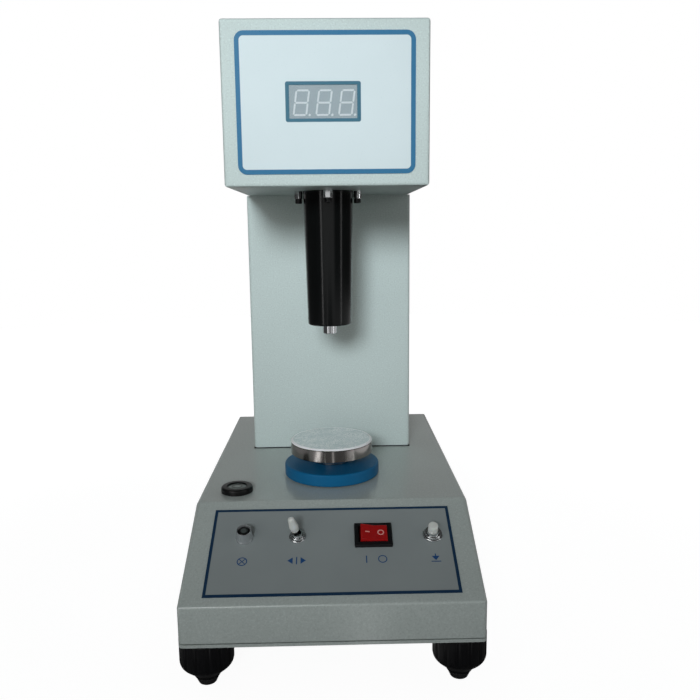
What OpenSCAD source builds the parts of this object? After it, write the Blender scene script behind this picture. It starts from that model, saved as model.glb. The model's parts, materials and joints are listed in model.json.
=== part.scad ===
// Bench cone penetrometer for soil: a weighted cone hangs on a held rod over a cup of soil, and
// the rod is let go so that the cone sinks in under its own weight. The depth shows on the head.
// Millimetres. The table is z = 0, the front faces -Y, and the origin is under the middle.

/* [Base] */
// Width of the base over its painted sides
base_w = 165; // [150:1:185]
// Depth of the base from the apron to the rear wall
base_l = 272; // [255:1:300]
// Height of the flat top above the table
base_h = 84.5; // [80:0.5:95]
// Height at which the upright apron bends into the sloping panel
apron_top = 52; // [46:0.5:58]
// Horizontal run of the sloping panel
panel_run = 66.5; // [60:0.5:72]
// Height of the base's underside above the table
foot_clear = 28.5; // [26:0.5:32]
// Thickness of the bottom plate
plate_t = 1.8; // [1.2:0.1:2.5]
// Open seam between the bottom plate and the cover
seam = 0.7; // [0.3:0.1:1.5]
// Thickness of the folded sheet steel
sheet = 1.2; // [0.8:0.1:1.6]
// Outside radius of the folded edges
bend_r = 2.5; // [1.8:0.1:4]
// Length and width of the tabs that the bottom plate is screwed to
tab_w = 12; // [9:0.5:16]
// Thickness of those tabs above the bottom plate
tab_t = 4; // [3:0.5:6]
// Distance of the tabs from the front and from the rear
tab_inset = 62; // [50:1:80]

/* [Column and head] */
// Width of the column and of the head
col_w = 117; // [105:1:130]
// Distance of the column's front behind the apron
col_setback = 175; // [170:1:185]
// Distance of the column's open back in front of the base's rear wall
col_inset = 5; // [4:0.5:10]
// Clear height from the base's top to the underside of the head
head_clear = 186.8; // [180:0.2:200]
// Height of the head
head_h = 91; // [84:1:100]
// Overhang of the head in front of the column
head_overhang = 108; // [100:1:115]
// Width of the lips folded in round the open ends of the shells
lip_w = 14; // [12:0.5:18]
// Bolt diameter of the column and head joints
bolt_d = 5; // [4:0.5:6]
// Distance of those bolts from the column's front and back
bolt_inset = 18; // [12:1:24]
// Margin between the rear cover and the edge of the shells
cover_margin = 1; // [0.5:0.5:3]
// Length of a vent slot in the rear cover
vent_l = 34; // [20:1:42]
// Width of a vent slot
vent_w = 3; // [2:0.5:4]
// Number of vent slots in each row
vent_count = 7; // [3:1:9]
// Spacing of the vent slots
vent_pitch = 8; // [6:0.5:9]

/* [Cone unit] */
// Distance of the cone axis in front of the column
axis_reach = 58; // [50:1:66]
// Length of the sleeve below the head
sleeve_l = 85.2; // [82:0.2:95]
// Outside diameter of the sleeve at the head
sleeve_top_d = 31.8; // [29:0.1:34]
// Outside diameter of the sleeve at its lower end
sleeve_end_d = 28.2; // [26.5:0.1:29]
// Radius round the sleeve's lower edge
sleeve_round = 1; // [0.4:0.1:1.4]
// Bore of the sleeve
sleeve_bore = 23.8; // [22.5:0.1:24.5]
// Thickness of the sleeve's closed end
sleeve_floor = 3; // [2:0.5:5]
// Diameter of the measuring rod
rod_d = 9; // [7:0.5:10]
// Length of rod that shows below the sleeve at rest
rod_proud = 6.2; // [3:0.2:8]
// Drop of the rod from the magnet to its lower stop
rod_travel = 22; // [16:0.5:24]
// Bore of the cone socket in the rod's end
socket_d = 5; // [4:0.1:6]
// Depth of the cone socket
socket_depth = 12; // [8:0.5:15]
// Chamfer round the rod's lower end
rod_chamfer = 0.4; // [0.2:0.1:0.8]
// Diameter of the slim upper part of the rod
spindle_d = 5; // [4:0.5:6]
// Diameter of the iron armature on the rod
armature_d = 18; // [15:0.5:20]
// Thickness of the armature
armature_t = 5; // [4:0.5:7]
// Length of the lower guide bush
bush_l = 14; // [12:0.5:16]
// Outside diameter of the lower guide bush
bush_d = 16; // [13:0.5:18]
// Thickness of the lower bush's flange
bush_flange = 3; // [2:0.5:4]
// Outside diameter of the upper guide bush
upper_bush_d = 8; // [7.5:0.5:9]
// Length of the upper guide bush
upper_bush_l = 12; // [8:0.5:14]
// Wall of the magnet's pot
pot_wall = 1.6; // [1:0.1:2.2]
// Diameter of the magnet's core
core_d = 10.4; // [9.5:0.1:12]
// Length of the magnet's coil
coil_l = 30; // [20:1:32]
// Width of the magnet's flange outside its screws
flange_rim = 5; // [3:0.5:8]
// Thickness of that flange
flange_t = 3; // [2.5:0.5:5]
// Thread diameter of the screws that hang the magnet under the head
hang_screw_d = 3; // [2.5:0.5:3.5]
// Head diameter of those screws
hang_head_d = 4.4; // [4:0.1:6]
// Head height of those screws
hang_head_h = 3; // [2:0.5:4]
// Width across the flats of the hexagon spacers on those screws
spacer_af = 5; // [4.8:0.1:6]
// Length of the hexagon spacers
spacer_l = 4.8; // [4:0.2:9]
// Height of the spindle above the flange with the rod down
spindle_rise = 45; // [42:1:52]
// Size of the block that clamps the scale to the spindle
clamp_s = 11; // [9:0.5:13]
// Width of the displacement scale
scale_w = 12; // [8:0.5:16]
// Thickness of the displacement scale
scale_t = 1.2; // [0.8:0.1:2]
// Height of the scale's lower end above the flange with the rod down
scale_gap = 3; // [1:0.5:5]
// Width of the sensor that reads the scale
sensor_w = 22; // [16:1:28]
// Depth of the sensor
sensor_d = 11; // [8:0.5:13]
// Height of the sensor
sensor_h = 28; // [25:1:32]
// Height of the step for the sensor's plug
sensor_step = 8; // [5:0.5:12]

/* [Platform] */
// Diameter of the blue lifting wheel
wheel_d = 63; // [58:1:68]
// Thickness of the lifting wheel
wheel_t = 8; // [6:0.5:10]
// Radius round the wheel's edges
wheel_round = 1.2; // [0.4:0.1:2]
// Diameter of the thrust washer under the wheel
washer_d = 44; // [36:1:54]
// Thickness of the thrust washer
washer_t = 0.5; // [0.3:0.1:1]
// Diameter of the platform
platform_d = 54.6; // [48:0.2:57]
// Thickness of the platform's disc
platform_t = 9; // [7:0.1:10]
// Chamfer round the platform's upper rim
platform_chamfer = 0.9; // [0.4:0.1:1.5]
// Chamfer round the platform's lower rim
platform_edge = 0.5; // [0.2:0.1:1]
// Diameter of the hub under the platform
hub_d = 24; // [22:1:30]
// Height of that hub
hub_h = 6.3; // [5:0.1:9]
// Diameter of the lifting screw
lift_d = 16; // [14:0.5:17]
// Depth of the lifting screw in the platform
lift_seat = 11; // [8:0.5:12]
// Travel of the platform
lift_travel = 24; // [16:1:24]
// Diameter of the nut's journal in the wheel
journal_d = 22; // [21:0.5:24]
// Length of the journal below the base's top
journal_l = 9; // [7:0.5:11]
// Diameter of the guide's flange under the top
guide_flange_d = 52; // [46:1:60]
// Thickness of that flange
guide_flange_t = 4; // [3:0.5:5]
// Diameter of the guide tube
guide_d = 31; // [28:0.5:34]
// Length of the guide below the base's top
guide_l = 36; // [32:0.5:40]
// Width of the key that stops the lifting screw from turning
key_w = 4; // [3:0.5:5]
// Depth of the keyway in the lifting screw
key_depth = 2.5; // [2:0.1:3]
// Length of the key
key_l = 7; // [5:0.5:8]
// Height of the solid guide between key and journal
key_cover = 2; // [1:0.5:4]

/* [Feet] */
// Distance of each foot's axis from the front and the rear
foot_inset = 15; // [14.8:0.1:18]
// Distance of each foot's axis from the side
foot_side = 12.3; // [11:0.1:18]
// Diameter of the foot's knob
knob_d = 30; // [26:0.5:31]
// Radius round the shoulder of the knob
knob_round = 5; // [3:0.5:6]
// Height of the knob's tapering lower part
knob_taper = 8; // [6:0.5:10]
// Diameter of the knob's neck above the pad
knob_neck_d = 14.4; // [13:0.2:17]
// Height of that neck
knob_neck = 1; // [0.6:0.1:2]
// Radius round the upper edge of the knob
knob_edge = 0.8; // [0.3:0.1:1.5]
// Number of grip grooves round the knob
knob_grooves = 14; // [8:1:18]
// Diameter of those grooves
groove_d = 3; // [2:0.5:4]
// Depth of those grooves
groove_depth = 0.6; // [0.3:0.1:1]
// Height of the foot's pad
pad_h = 4.2; // [4:0.1:6]
// Diameter of the pad at the table
pad_low_d = 9.8; // [9.4:0.2:12]
// Diameter of the pad under the knob
pad_top_d = 13.6; // [12:0.2:16]
// Radius round the pad's edges
pad_round = 0.6; // [0.3:0.1:1]
// Thread diameter of the levelling screw
foot_screw_d = 8; // [6:0.5:9]
// Diameter of the screw's tip in the pad
foot_tip_d = 5; // [4:0.2:5.4]
// Length of that tip
foot_tip_l = 2.8; // [2:0.1:3]
// Length of screw that stands above the bottom plate
foot_screw_up = 19; // [15:0.5:20]
// Width across the flats of the levelling nut
foot_nut_af = 13; // [12:0.5:15]
// Height of the levelling nut
foot_nut_h = 6.5; // [5:0.5:8]

/* [Level] */
// Distance of the bubble level in from the base's left side
level_in = 22.5; // [19:0.5:26]
// Distance of the bubble level behind the upper bend
level_back = 18; // [13:0.5:20]
// Diameter of the level's ring
level_d = 20; // [18:0.5:22]
// Height of the ring above the base's top
level_h = 3.6; // [3:0.1:5]
// Radius round the ring's upper edge
level_round = 1.4; // [0.3:0.1:1.5]
// Diameter of the level's body below the ring
level_spigot_d = 16; // [14:0.5:16]
// Depth of that body below the base's top
level_depth = 6; // [5:0.5:9]
// Diameter of the glass vial
vial_d = 12.4; // [10:0.2:12.6]
// Recess of the vial below the ring
vial_recess = 0.4; // [0.2:0.1:0.8]
// Thickness of the body under the vial
level_floor = 2; // [1.5:0.5:3]

/* [Panel controls] */
// Distance of the panel film in from each side of the base
film_side = 12.8; // [11.5:0.1:16]
// Length of the panel film up the slope
film_l = 61.3; // [56:0.1:62]
// Distance of the film above the lower bend
film_gap = 5.5; // [4.5:0.1:6]
// Thickness of the films on panel and head
film_t = 0.4; // [0.2:0.1:0.6]
// Distance of the controls above the lower bend
control_up = 45; // [40:0.5:48]
// Distance of the lamp in from the film's left edge
lamp_in = 19.2; // [16:0.1:23]
// Distance of the toggle switch in from the film's left edge
toggle_in = 49.7; // [44:0.1:55]
// Distance of the rocker switch in from the film's right edge
rocker_in = 46; // [40:0.1:51]
// Distance of the push button in from the film's right edge
button_in = 11.6; // [10:0.1:17]
// Diameter of the lamp's bezel
lamp_d = 9.4; // [8.6:0.1:10]
// Height of the lamp's bezel
lamp_h = 7; // [5:0.2:8]
// Width of the flange round the bezel's foot
lamp_flange = 0.3; // [0.2:0.1:1]
// Thickness of that flange
lamp_flange_t = 1; // [0.6:0.1:1.6]
// Taper of the bezel towards its mouth
lamp_taper = 0.5; // [0.2:0.1:0.8]
// Width of the lip round the bezel's mouth
lamp_lip = 0.5; // [0.3:0.1:0.8]
// Depth of the bezel's well
lamp_well = 3; // [2.4:0.1:4]
// Length of the lamp's stem below its nut
lamp_tail = 4; // [2:0.5:8]
// Diameter of the lamp's threaded stem
lamp_stem_d = 6; // [5.8:0.1:6.4]
// Diameter of the light inside the lamp
led_d = 4.6; // [4:0.1:4.8]
// Depth of the lens below the bezel's mouth
lens_sink = 0.4; // [0.2:0.1:0.8]
// Radius round the lens's upper edge
lens_round = 1.4; // [0.6:0.1:1.8]
// Thread diameter of the toggle's bush
toggle_bush_d = 6; // [5.8:0.1:7]
// Wall of the toggle's bush
toggle_wall = 0.7; // [0.5:0.1:0.8]
// Depth of the lever's pivot below the bush's end
toggle_sink = 3.3; // [1.6:0.1:3.6]
// Depth of the bush's bore below the pivot
toggle_well = 3.4; // [2.6:0.1:5]
// Diameter of the lever's pivot pins
toggle_pin_d = 1.4; // [1:0.1:2]
// Thickness of the round dress nuts on toggle and button
dress_nut_t = 2.5; // [1.5:0.1:3]
// Width of the step round the dress nuts
dress_step = 0.9; // [0.5:0.1:1.2]
// Radius round the upper edge of the dress nuts
dress_round = 0.4; // [0.2:0.1:0.6]
// Diameter of the toggle's dress nut
toggle_nut_d = 9.8; // [9.2:0.2:11]
// Width across the flats of the lamp's nut
lamp_nut_af = 8; // [7.6:0.2:10]
// Length of thread that shows above a dress nut
thread_show = 1.8; // [0.8:0.1:2.2]
// Lean of the toggle to either side
toggle_lean = 12.5; // [8:0.5:14]
// Diameter of the toggle's lever
lever_d = 2.5; // [2:0.1:2.8]
// Length of the toggle's white cap
toggle_cap_l = 10.5; // [9:0.5:13]
// Diameter of that cap where it is widest
toggle_cap_d = 5.4; // [4.6:0.1:6]
// Height of that widest place above the cap's lower end
toggle_cap_up = 3.4; // [2.5:0.1:5]
// Diameter of the cap at its lower end
toggle_foot_d = 4.4; // [4:0.1:5]
// Diameter of the cap at its tip
toggle_tip_d = 3.2; // [2.6:0.1:4]
// Gap between the bush and the cap
toggle_cap_gap = 1.8; // [0.9:0.1:2.4]
// Thickness of the cap's closed end
toggle_cap_end = 2.8; // [2:0.1:4]
// Size of the toggle's body along its throw
toggle_body_w = 13.2; // [12:0.2:15]
// Size of the toggle's body across its throw
toggle_body_l = 8; // [7.4:0.2:10]
// Depth of the toggle's body
toggle_body_h = 9.6; // [8:0.2:12]
// Length of the solder tags behind the switches
tag_l = 4; // [3:0.5:8]
// Width of the solder tags
tag_w = 2; // [1.5:0.1:3]
// Thickness of the solder tags
tag_t = 0.8; // [0.5:0.1:1]
// Width of the rocker switch's frame
frame_w = 21.8; // [20.8:0.1:23]
// Length of the rocker switch's frame up the slope
frame_l = 16.6; // [14.4:0.1:17.4]
// Height of the rocker switch's frame
frame_h = 2; // [1.5:0.1:3]
// Width of the rim of that frame over the cut-out
frame_rim = 1.4; // [0.6:0.1:1.6]
// Depth of the rocker switch behind the panel
rocker_depth = 17; // [14:0.5:20]
// End wall of the rocker's well
rocker_end_wall = 1; // [0.7:0.1:1.4]
// Side wall of the rocker's well
rocker_side_wall = 1.3; // [1:0.1:1.6]
// Clearance at the ends of the rocker
rocker_end_gap = 0.8; // [0.75:0.05:1]
// Depth of the rocker's pivot below the film
rocker_down = 0.6; // [0.4:0.1:1.2]
// Depth of the well below the pivot
rocker_well = 4.6; // [4.4:0.1:6]
// Depth of the rocker's ends below the pivot
rocker_side = 2; // [1.6:0.1:2.4]
// Depth of the rocker's belly below the pivot
rocker_belly = 3; // [2.6:0.1:3.4]
// Radius round the rocker's raised ends
rocker_round = 0.5; // [0.2:0.1:0.8]
// Radius round the upper edge of the frame
frame_round = 0.7; // [0.3:0.1:1]
// Tilt of the rocker to either side
rocker_tilt = 6.5; // [5:0.5:8]
// Height of the rocker's crease above its pivot
crease_h = 3.6; // [3.3:0.1:4]
// Diameter of the rocker's pivot pins
rocker_pin_d = 2.4; // [1.8:0.1:2.8]
// Diameter of the button's white cap
button_cap_d = 5.7; // [4.8:0.1:5.9]
// Height of the cap above the button's bush
button_proud = 4; // [3.2:0.2:7]
// Radius round the cap's upper edge
button_round = 0.7; // [0.3:0.1:1.2]
// Width of the collar that holds the cap in
button_collar = 0.3; // [0.2:0.05:0.4]
// Length of that collar
button_collar_l = 5; // [3:0.5:6]
// Depth of the collar's stop behind the panel sheet
button_stop_in = 1; // [0.6:0.1:1.6]
// Thickness of the button's closed end
button_end = 1.5; // [1:0.1:2]
// Thread diameter of the button's bush
button_bush_d = 7.4; // [7.2:0.1:7.8]
// Diameter of the button's dress nut
button_nut_d = 11.6; // [10.2:0.2:12]
// Diameter of the button's body behind the panel
button_body_d = 9; // [8.6:0.2:11]
// Depth of the button's body behind the panel
button_depth = 15; // [13:0.5:18]

/* [Display] */
// Width of the film on the head
head_film_w = 100.4; // [92:0.2:108]
// Height of the film on the head
head_film_h = 77.2; // [70:0.2:78]
// Height of the middle of the film above the head's underside
head_film_z = 45.6; // [43:0.1:46]
// Corner radius of the film on the head
head_film_r = 5; // [2:0.5:8]
// Place of the display left of the middle
display_x = -1.6; // [-6:0.2:6]
// Height of the display's middle above the head's underside
display_z = 46.4; // [40:0.2:50]
// Width of the display
display_w = 38; // [36:0.2:40]
// Height of the display
display_h = 18; // [16.5:0.2:20]
// Depth of the display block
display_d = 8; // [7:0.5:10]
// Thickness of the clear window
window_t = 0.3; // [0.2:0.1:0.4]
// Margin of the display's board round the display
board_margin = 13; // [11:0.5:16]

/* [Power supply] */
// Distance of the power inlet left of the middle
inlet_x = 38; // [32:1:42]
// Wall beside the inlet's socket
inlet_side = 1.7; // [1.2:0.1:3]
// Wall above, below and between socket and drawer
inlet_web = 2.1; // [1.5:0.1:3]
// Thickness of the rim behind the rear wall
inlet_rim = 2.5; // [2:0.5:4]
// Width of the rim over the wall's cut-out
inlet_lap = 2; // [1.5:0.1:2.5]
// Depth of the inlet inside the base
inlet_depth = 20; // [18:0.5:24]
// Width of the inlet's socket
socket_w = 24.6; // [24.2:0.1:25]
// Height of the inlet's socket
socket_h = 16.6; // [16.2:0.1:17]
// Depth of the inlet's socket
socket_deep = 15; // [14:0.5:16]
// Chamfer of the socket's upper corners
socket_chamfer = 5; // [4:0.5:6]
// Spacing of the inlet's pins
pin_pitch = 7; // [6:0.5:8]
// Offset of the pins above and below the socket's middle
pin_offset = 2; // [1.5:0.5:2.5]
// Width of the inlet's pins
pin_w = 4; // [3:0.5:5]
// Thickness of the inlet's pins
pin_t = 2; // [1.5:0.5:2.5]
// Length of the inlet's pins
pin_l = 9.5; // [8:0.5:10]
// Width of the fuse drawer
drawer_w = 23.6; // [22:0.1:24]
// Height of the fuse drawer
drawer_h = 7; // [6:0.2:7.4]
// Length of the fuse drawer
drawer_l = 16; // [14:0.5:17]
// Thickness of the drawer's front
drawer_front = 4; // [3:0.5:5]
// Wall of the drawer's fuse bay
drawer_wall = 0.8; // [0.6:0.1:1.2]
// Depth of the finger notch in the drawer's front
drawer_notch = 1.2; // [0.8:0.1:1.6]
// Width of the transformer
core_w = 48; // [42:1:54]
// Height of the transformer
core_h = 40; // [36:1:42]
// Stack of the transformer's laminations
core_stack = 20; // [14:1:26]
// Width of one transformer window
core_window = 8; // [6:0.5:9]
// Length of the transformer's feet
core_foot_l = 5; // [4:0.5:7]
// Thickness of the transformer's feet
core_foot_t = 1.5; // [1:0.1:2.5]
// Clear space beside the transformer's feet
core_clear = 4; // [2:0.5:6]
// Space between the power inlet and the transformer's middle
core_back = 40; // [30:1:46]
// Width of the circuit board
board_w = 62; // [54:1:66]
// Length of the circuit board
board_l = 78; // [66:1:84]
// Thickness of the circuit boards
board_t = 1.6; // [1:0.1:2.4]
// Height of the circuit board above the bottom plate
standoff_h = 8; // [6:0.5:10]
// Diameter of the capacitor on the circuit board
capacitor_d = 12; // [8:0.5:16]
// Height of the capacitor
capacitor_h = 14; // [10:0.5:20]
// Length of the relay on the circuit board
relay_l = 19; // [15:0.5:22]
// Width of the relay
relay_w = 15; // [10:0.5:18]
// Height of the relay
relay_h = 12; // [8:0.5:16]
// Length of the chip on the circuit board
chip_l = 33; // [20:0.5:36]
// Width of the chip
chip_w = 15; // [8:0.5:18]
// Height of the chip
chip_h = 3; // [2:0.5:5]
// Distance of the circuit board from the middle
board_off = 4; // [2:0.5:8]
// Width across the flats of the boards' standoffs
standoff_af = 5; // [4.5:0.1:6]

/* [Fits] */
// Clearance round a piece that turns or slides in a bore
run_gap = 0.05; // [0.02:0.01:0.1]
// Clearance round a piece that is pressed or glued in
fit_gap = 0.03; // [0.02:0.01:0.06]
// Clearance between pieces that pass each other
clear_gap = 0.3; // [0.25:0.05:0.4]
// Clearance of a screw in its hole
hole_gap = 0.2; // [0.1:0.05:0.4]
// Diameter of the small case screws
case_screw_d = 3; // [2.5:0.5:3.5]
// Head diameter of the case screws
case_head_d = 5.6; // [5:0.1:6.5]
// Head height of the case screws
case_head_h = 1.8; // [1.2:0.1:2.2]
// Length of screw that shows behind a board or a lip
screw_tail = 1.5; // [0.5:0.1:3]

/* [Hidden] */
$fn = 64;
far = 400;
front_y = -(base_l + inlet_rim) / 2;
rear_y = front_y + base_l;
plate_top = foot_clear + plate_t;
cover_z = plate_top + seam;
panel_drop = base_h - apron_top;
panel_a = atan2(panel_drop, panel_run);
col_front = front_y + col_setback;
col_rear = rear_y - col_inset;
head_front = col_front - head_overhang;
head_z = base_h + head_clear;
head_top = head_z + head_h;
axis_y = col_front - axis_reach;

// Cone unit, from the sleeve's end upwards
sleeve_z = head_z - sleeve_l;
rod_z = sleeve_z - rod_proud;
bush_top = sleeve_z + bush_l;
pole_z = bush_top + armature_t + rod_travel + 2 * clear_gap;
armature_z = pole_z - clear_gap - armature_t;
flange_z = head_z + sheet;
flange_top = flange_z + flange_t;
pot_r = sleeve_bore / 2 - fit_gap;
hang_r = sleeve_top_d / 2 + clear_gap + spacer_af / 2;
spindle_top = flange_top + spindle_rise + rod_travel;
scale_back = axis_y + clamp_s / 2 + scale_t;
flange_d = 2 * (hang_r + flange_rim);

// Platform, from the base's top upwards
wheel_z = base_h + washer_t + clear_gap / 3;
wheel_top = wheel_z + wheel_t;
hub_z = wheel_top + clear_gap;
disc_z = hub_z + hub_h;
platform_top = disc_z + platform_t;
key_z = base_h - journal_l - key_cover - key_l;
lift_end = key_z - lift_travel - key_cover;

// Feet
knob_top = foot_clear - clear_gap;
knob_low = pad_h + clear_gap;
foot_x = base_w / 2 - foot_side;
front_left = [-foot_x, front_y + foot_inset];
front_right = [foot_x, front_y + foot_inset];
rear_left = [-foot_x, rear_y - foot_inset];
rear_right = [foot_x, rear_y - foot_inset];
feet = [front_left, front_right, rear_left, rear_right];

// Level and controls across the base
level_x = base_w / 2 - level_in;
film_w = base_w - 2 * film_side;
lamp_x = -film_w / 2 + lamp_in;
toggle_x = -film_w / 2 + toggle_in;
rocker_x = film_w / 2 - rocker_in;
button_x = film_w / 2 - button_in;

// Panel controls, measured along the panel's outward normal
nut_top = film_t + dress_nut_t;
bush_end = nut_top + thread_show;
lamp_top = film_t + lamp_h;
lamp_well_z = lamp_top - lamp_well;
lamp_well_d = lamp_d - 2 * (lamp_taper + lamp_lip);
lamp_end = -sheet - dress_nut_t - lamp_tail;
toggle_pivot = bush_end - toggle_sink;
toggle_bore_d = toggle_bush_d - 2 * toggle_wall;
lever_cap_z = toggle_sink + toggle_cap_gap;
lever_cap_top = lever_cap_z + toggle_cap_l;
lever_top = lever_cap_top - toggle_cap_end;
rocker_body_w = frame_w - 2 * frame_rim;
rocker_body_l = frame_l - 2 * frame_rim;
rocker_well_l = rocker_body_w - 2 * rocker_end_wall;
rocker_well_w = rocker_body_l - 2 * rocker_side_wall;
rocker_l = rocker_well_l - 2 * rocker_end_gap;
rocker_w = rocker_well_w - 2 * clear_gap;
rocker_pivot = film_t - rocker_down;
button_collar_d = button_cap_d + 2 * button_collar;
button_stop = -sheet - button_stop_in;
button_top = bush_end + button_proud;

// Inlet and boards
inlet_z = (cover_z + base_h) / 2;
inlet_w = socket_w + 2 * (inlet_lap + inlet_side);
inlet_h = socket_h + drawer_h + 2 * inlet_lap + 3 * inlet_web;
socket_y = inlet_h / 2 - inlet_lap - inlet_web - socket_h / 2;
drawer_y = -inlet_h / 2 + inlet_lap + inlet_web + drawer_h / 2;
socket_floor = inlet_rim - socket_deep;
drawer_end = inlet_rim - drawer_l;
core_y = rear_y - inlet_depth - core_back;
core_x = -base_w / 2 + sheet + tab_w + core_clear + core_foot_l + core_w / 2;
leg_w = (core_w - 2 * core_window) / 4;
board_x = board_w / 2 + board_off;
board_y = rear_y - 2 * foot_inset - board_l / 2;
board_z = plate_top + standoff_h;
display_back = head_front + display_d;
display_mid = head_z + display_z;
head_film_mid = head_z + head_film_z;
bolt_af = 1.6 * bolt_d;
bolt_head = 0.7 * bolt_d;
bolt_nut = 0.8 * bolt_d;

// Places of the fastenings
tabs = [for (side = [-1, 1], end = [0, 1])
    [side * (base_w / 2 - sheet - tab_w / 2), end == 0 ? front_y + tab_inset : rear_y - tab_inset]];
bolts = [for (side = [-1, 1], y = [col_front + bolt_inset, col_rear - bolt_inset])
    [side * (col_w / 2 - lip_w / 2), y]];
column_mid = (base_h + head_z) / 2;
rear_screws = [for (side = [-1, 1], z = [base_h + lip_w, column_mid, head_z + lip_w, head_top - lip_w])
    [side * (col_w / 2 - lip_w / 2), z]];
board_holes = [for (sx = [-1, 1], sy = [-1, 1])
    [board_x + sx * (board_w / 2 - standoff_af), board_y + sy * (board_l / 2 - standoff_af)]];
display_holes = [for (sx = [-1, 1], sz = [-1, 1])
    [display_x + sx * (display_w / 2 + board_margin / 2),
     display_mid + sz * (display_h / 2 + board_margin / 2)]];

paint = "#BECBC4";
black = "#1B1B1D";
steel = "#B9BDC0";
chrome = "#D8DCDF";
brass = "#C2A255";
white = "#F1F1EC";
zinc = "#C9CBC6";

// Points of a round corner of radius r at b, between a and c
function corner(a, b, c, r, steps = 6) =
    let (u = (a - b) / norm(a - b), v = (c - b) / norm(c - b), half = acos(u * v) / 2,
         middle = b + (u + v) / norm(u + v) * r / sin(half),
         p = b + u * r / tan(half) - middle, q = b + v * r / tan(half) - middle,
         start = atan2(p.y, p.x), turn = atan2(q.y, q.x) - start,
         sweep = turn > 180 ? turn - 360 : turn < -180 ? turn + 360 : turn)
    [for (i = [0 : steps]) middle + r * [cos(start + sweep * i / steps), sin(start + sweep * i / steps)]];

// Outline through the given points, each rounded by its own radius
function rounded(points, radii) =
    let (n = len(points))
    [for (i = [0 : n - 1]) each radii[i] > 0
        ? corner(points[(i + n - 1) % n], points[i], points[(i + 1) % n], radii[i])
        : [points[i]]];

function box_outline(x0, x1, y0, y1) = [[x0, y0], [x1, y0], [x1, y1], [x0, y1]];

// Flat outline of a box with all four corners rounded
module soft_rect(x0, x1, y0, y1, r)
    polygon(rounded(box_outline(x0, x1, y0, y1), [r, r, r, r]));

// Outline in x and z, drawn out along y
module along_y(y0, y1)
    translate([0, y1, 0]) rotate([90, 0, 0]) linear_extrude(y1 - y0) children();

// Outline in y and z, drawn out along x to both sides of the middle
module along_x(width)
    translate([-width / 2, 0, 0]) rotate([90, 0, 90]) linear_extrude(width) children();

// Box with every edge rounded
module soft_box(x0, x1, y0, y1, z0, z1, r)
    intersection() {
        translate([0, 0, z0]) linear_extrude(z1 - z0) soft_rect(x0, x1, y0, y1, r);
        along_y(y0, y1) soft_rect(x0, x1, z0, z1, r);
        translate([(x0 + x1) / 2, 0, 0]) along_x(x1 - x0) soft_rect(y0, y1, z0, z1, r);
    }

// Plain box between two corners
module span(x0, x1, y0, y1, z0, z1)
    translate([x0, y0, z0]) cube([x1 - x0, y1 - y0, z1 - z0]);

// Plain box centred on x and y, between two heights
module block(w, l, z0, z1)
    span(-w / 2, w / 2, -l / 2, l / 2, z0, z1);

// Round bar between two heights
module bar(d, z0, z1)
    translate([0, 0, z0]) cylinder(h = z1 - z0, d = d);

// Hexagon bar between two heights, flats facing x
module hex(af, z0, z1)
    translate([0, 0, z0]) rotate([0, 0, 30]) cylinder(h = z1 - z0, d = af / cos(30), $fn = 6);

// Place on the panel: x across, up along the slope, z along the outward normal
module on_panel(x, up = control_up)
    translate([x, front_y + up * cos(panel_a), apron_top + up * sin(panel_a)])
        rotate([panel_a, 0, 0]) children();

// Place on the rear wall seen from behind: y up, z outwards
module on_rear(x, z)
    translate([x, rear_y, z]) rotate([90, 0, 180]) children();

// Place on the cone axis
module on_axis()
    translate([0, axis_y, 0]) children();

// Holes on the circle of the four screws that hang the magnet
module hang_places()
    for (turn = [0 : 90 : 270]) rotate([0, 0, turn]) translate([hang_r, 0, 0]) children();

// Base

// Side view of the base's outside, with its bends rounded
module base_side()
    polygon(rounded(
        [[front_y, cover_z], [rear_y, cover_z], [rear_y, base_h],
         [front_y + panel_run, base_h], [front_y, apron_top]],
        [0, 0, bend_r, bend_r, bend_r]));

// Side view of the space inside the cover
module base_inside()
    polygon([
        [front_y + sheet, cover_z - 1], [rear_y - sheet, cover_z - 1],
        [rear_y - sheet, base_h - sheet],
        [front_y + panel_run + sheet * tan(panel_a / 2), base_h - sheet],
        [front_y + sheet, apron_top - sheet * (1 - sin(panel_a)) / cos(panel_a)]]);

// Front view with only the upper corners rounded
module shouldered(top)
    polygon(rounded(box_outline(-base_w / 2, base_w / 2, top - far, top), [0, 0, bend_r, bend_r]));

module base_cover() color(paint) {
    difference() {
        intersection() {
            along_x(base_w) base_side();
            along_y(front_y - 1, rear_y + 1) shouldered(base_h);
            on_panel(0, 0) along_y(-far, far) shouldered(0);
            linear_extrude(far) soft_rect(-base_w / 2, base_w / 2, front_y, rear_y, bend_r);
        }
        along_x(base_w - 2 * sheet) base_inside();
        on_axis() bar(journal_d + 4 * clear_gap, base_h - 2 * sheet, base_h + 1);
        on_level() bar(level_spigot_d + 2 * clear_gap, base_h - 2 * sheet, base_h + 1);
        for (p = bolts) translate(p) bar(bolt_d + 2 * hole_gap, base_h - 2 * sheet, base_h + 1);
        span(-col_w / 2 + lip_w, col_w / 2 - lip_w, col_front + lip_w, col_rear - lip_w,
             base_h - 2 * sheet, base_h + 1);
        panel_holes(-2 * sheet, 1);
        on_rear(-inlet_x, inlet_z)
            block(inlet_w - 2 * inlet_lap, inlet_h - 2 * inlet_lap, -2 * sheet, 1);
    }
    for (p = tabs) translate(p) difference() {
        block(tab_w, tab_w, plate_top, plate_top + tab_t);
        bar(case_screw_d + 2 * fit_gap, plate_top - 1, plate_top + tab_t + 1);
    }
}

// Openings through panel and film for the four controls
module panel_holes(z0, z1) {
    on_panel(lamp_x) bar(lamp_stem_d + 2 * hole_gap, z0, z1);
    on_panel(toggle_x) bar(toggle_bush_d + 2 * hole_gap, z0, z1);
    on_panel(button_x) bar(button_bush_d + 2 * hole_gap, z0, z1);
    on_panel(rocker_x) block(rocker_body_w + 2 * hole_gap, rocker_body_l + 2 * hole_gap, z0, z1);
}

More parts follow.
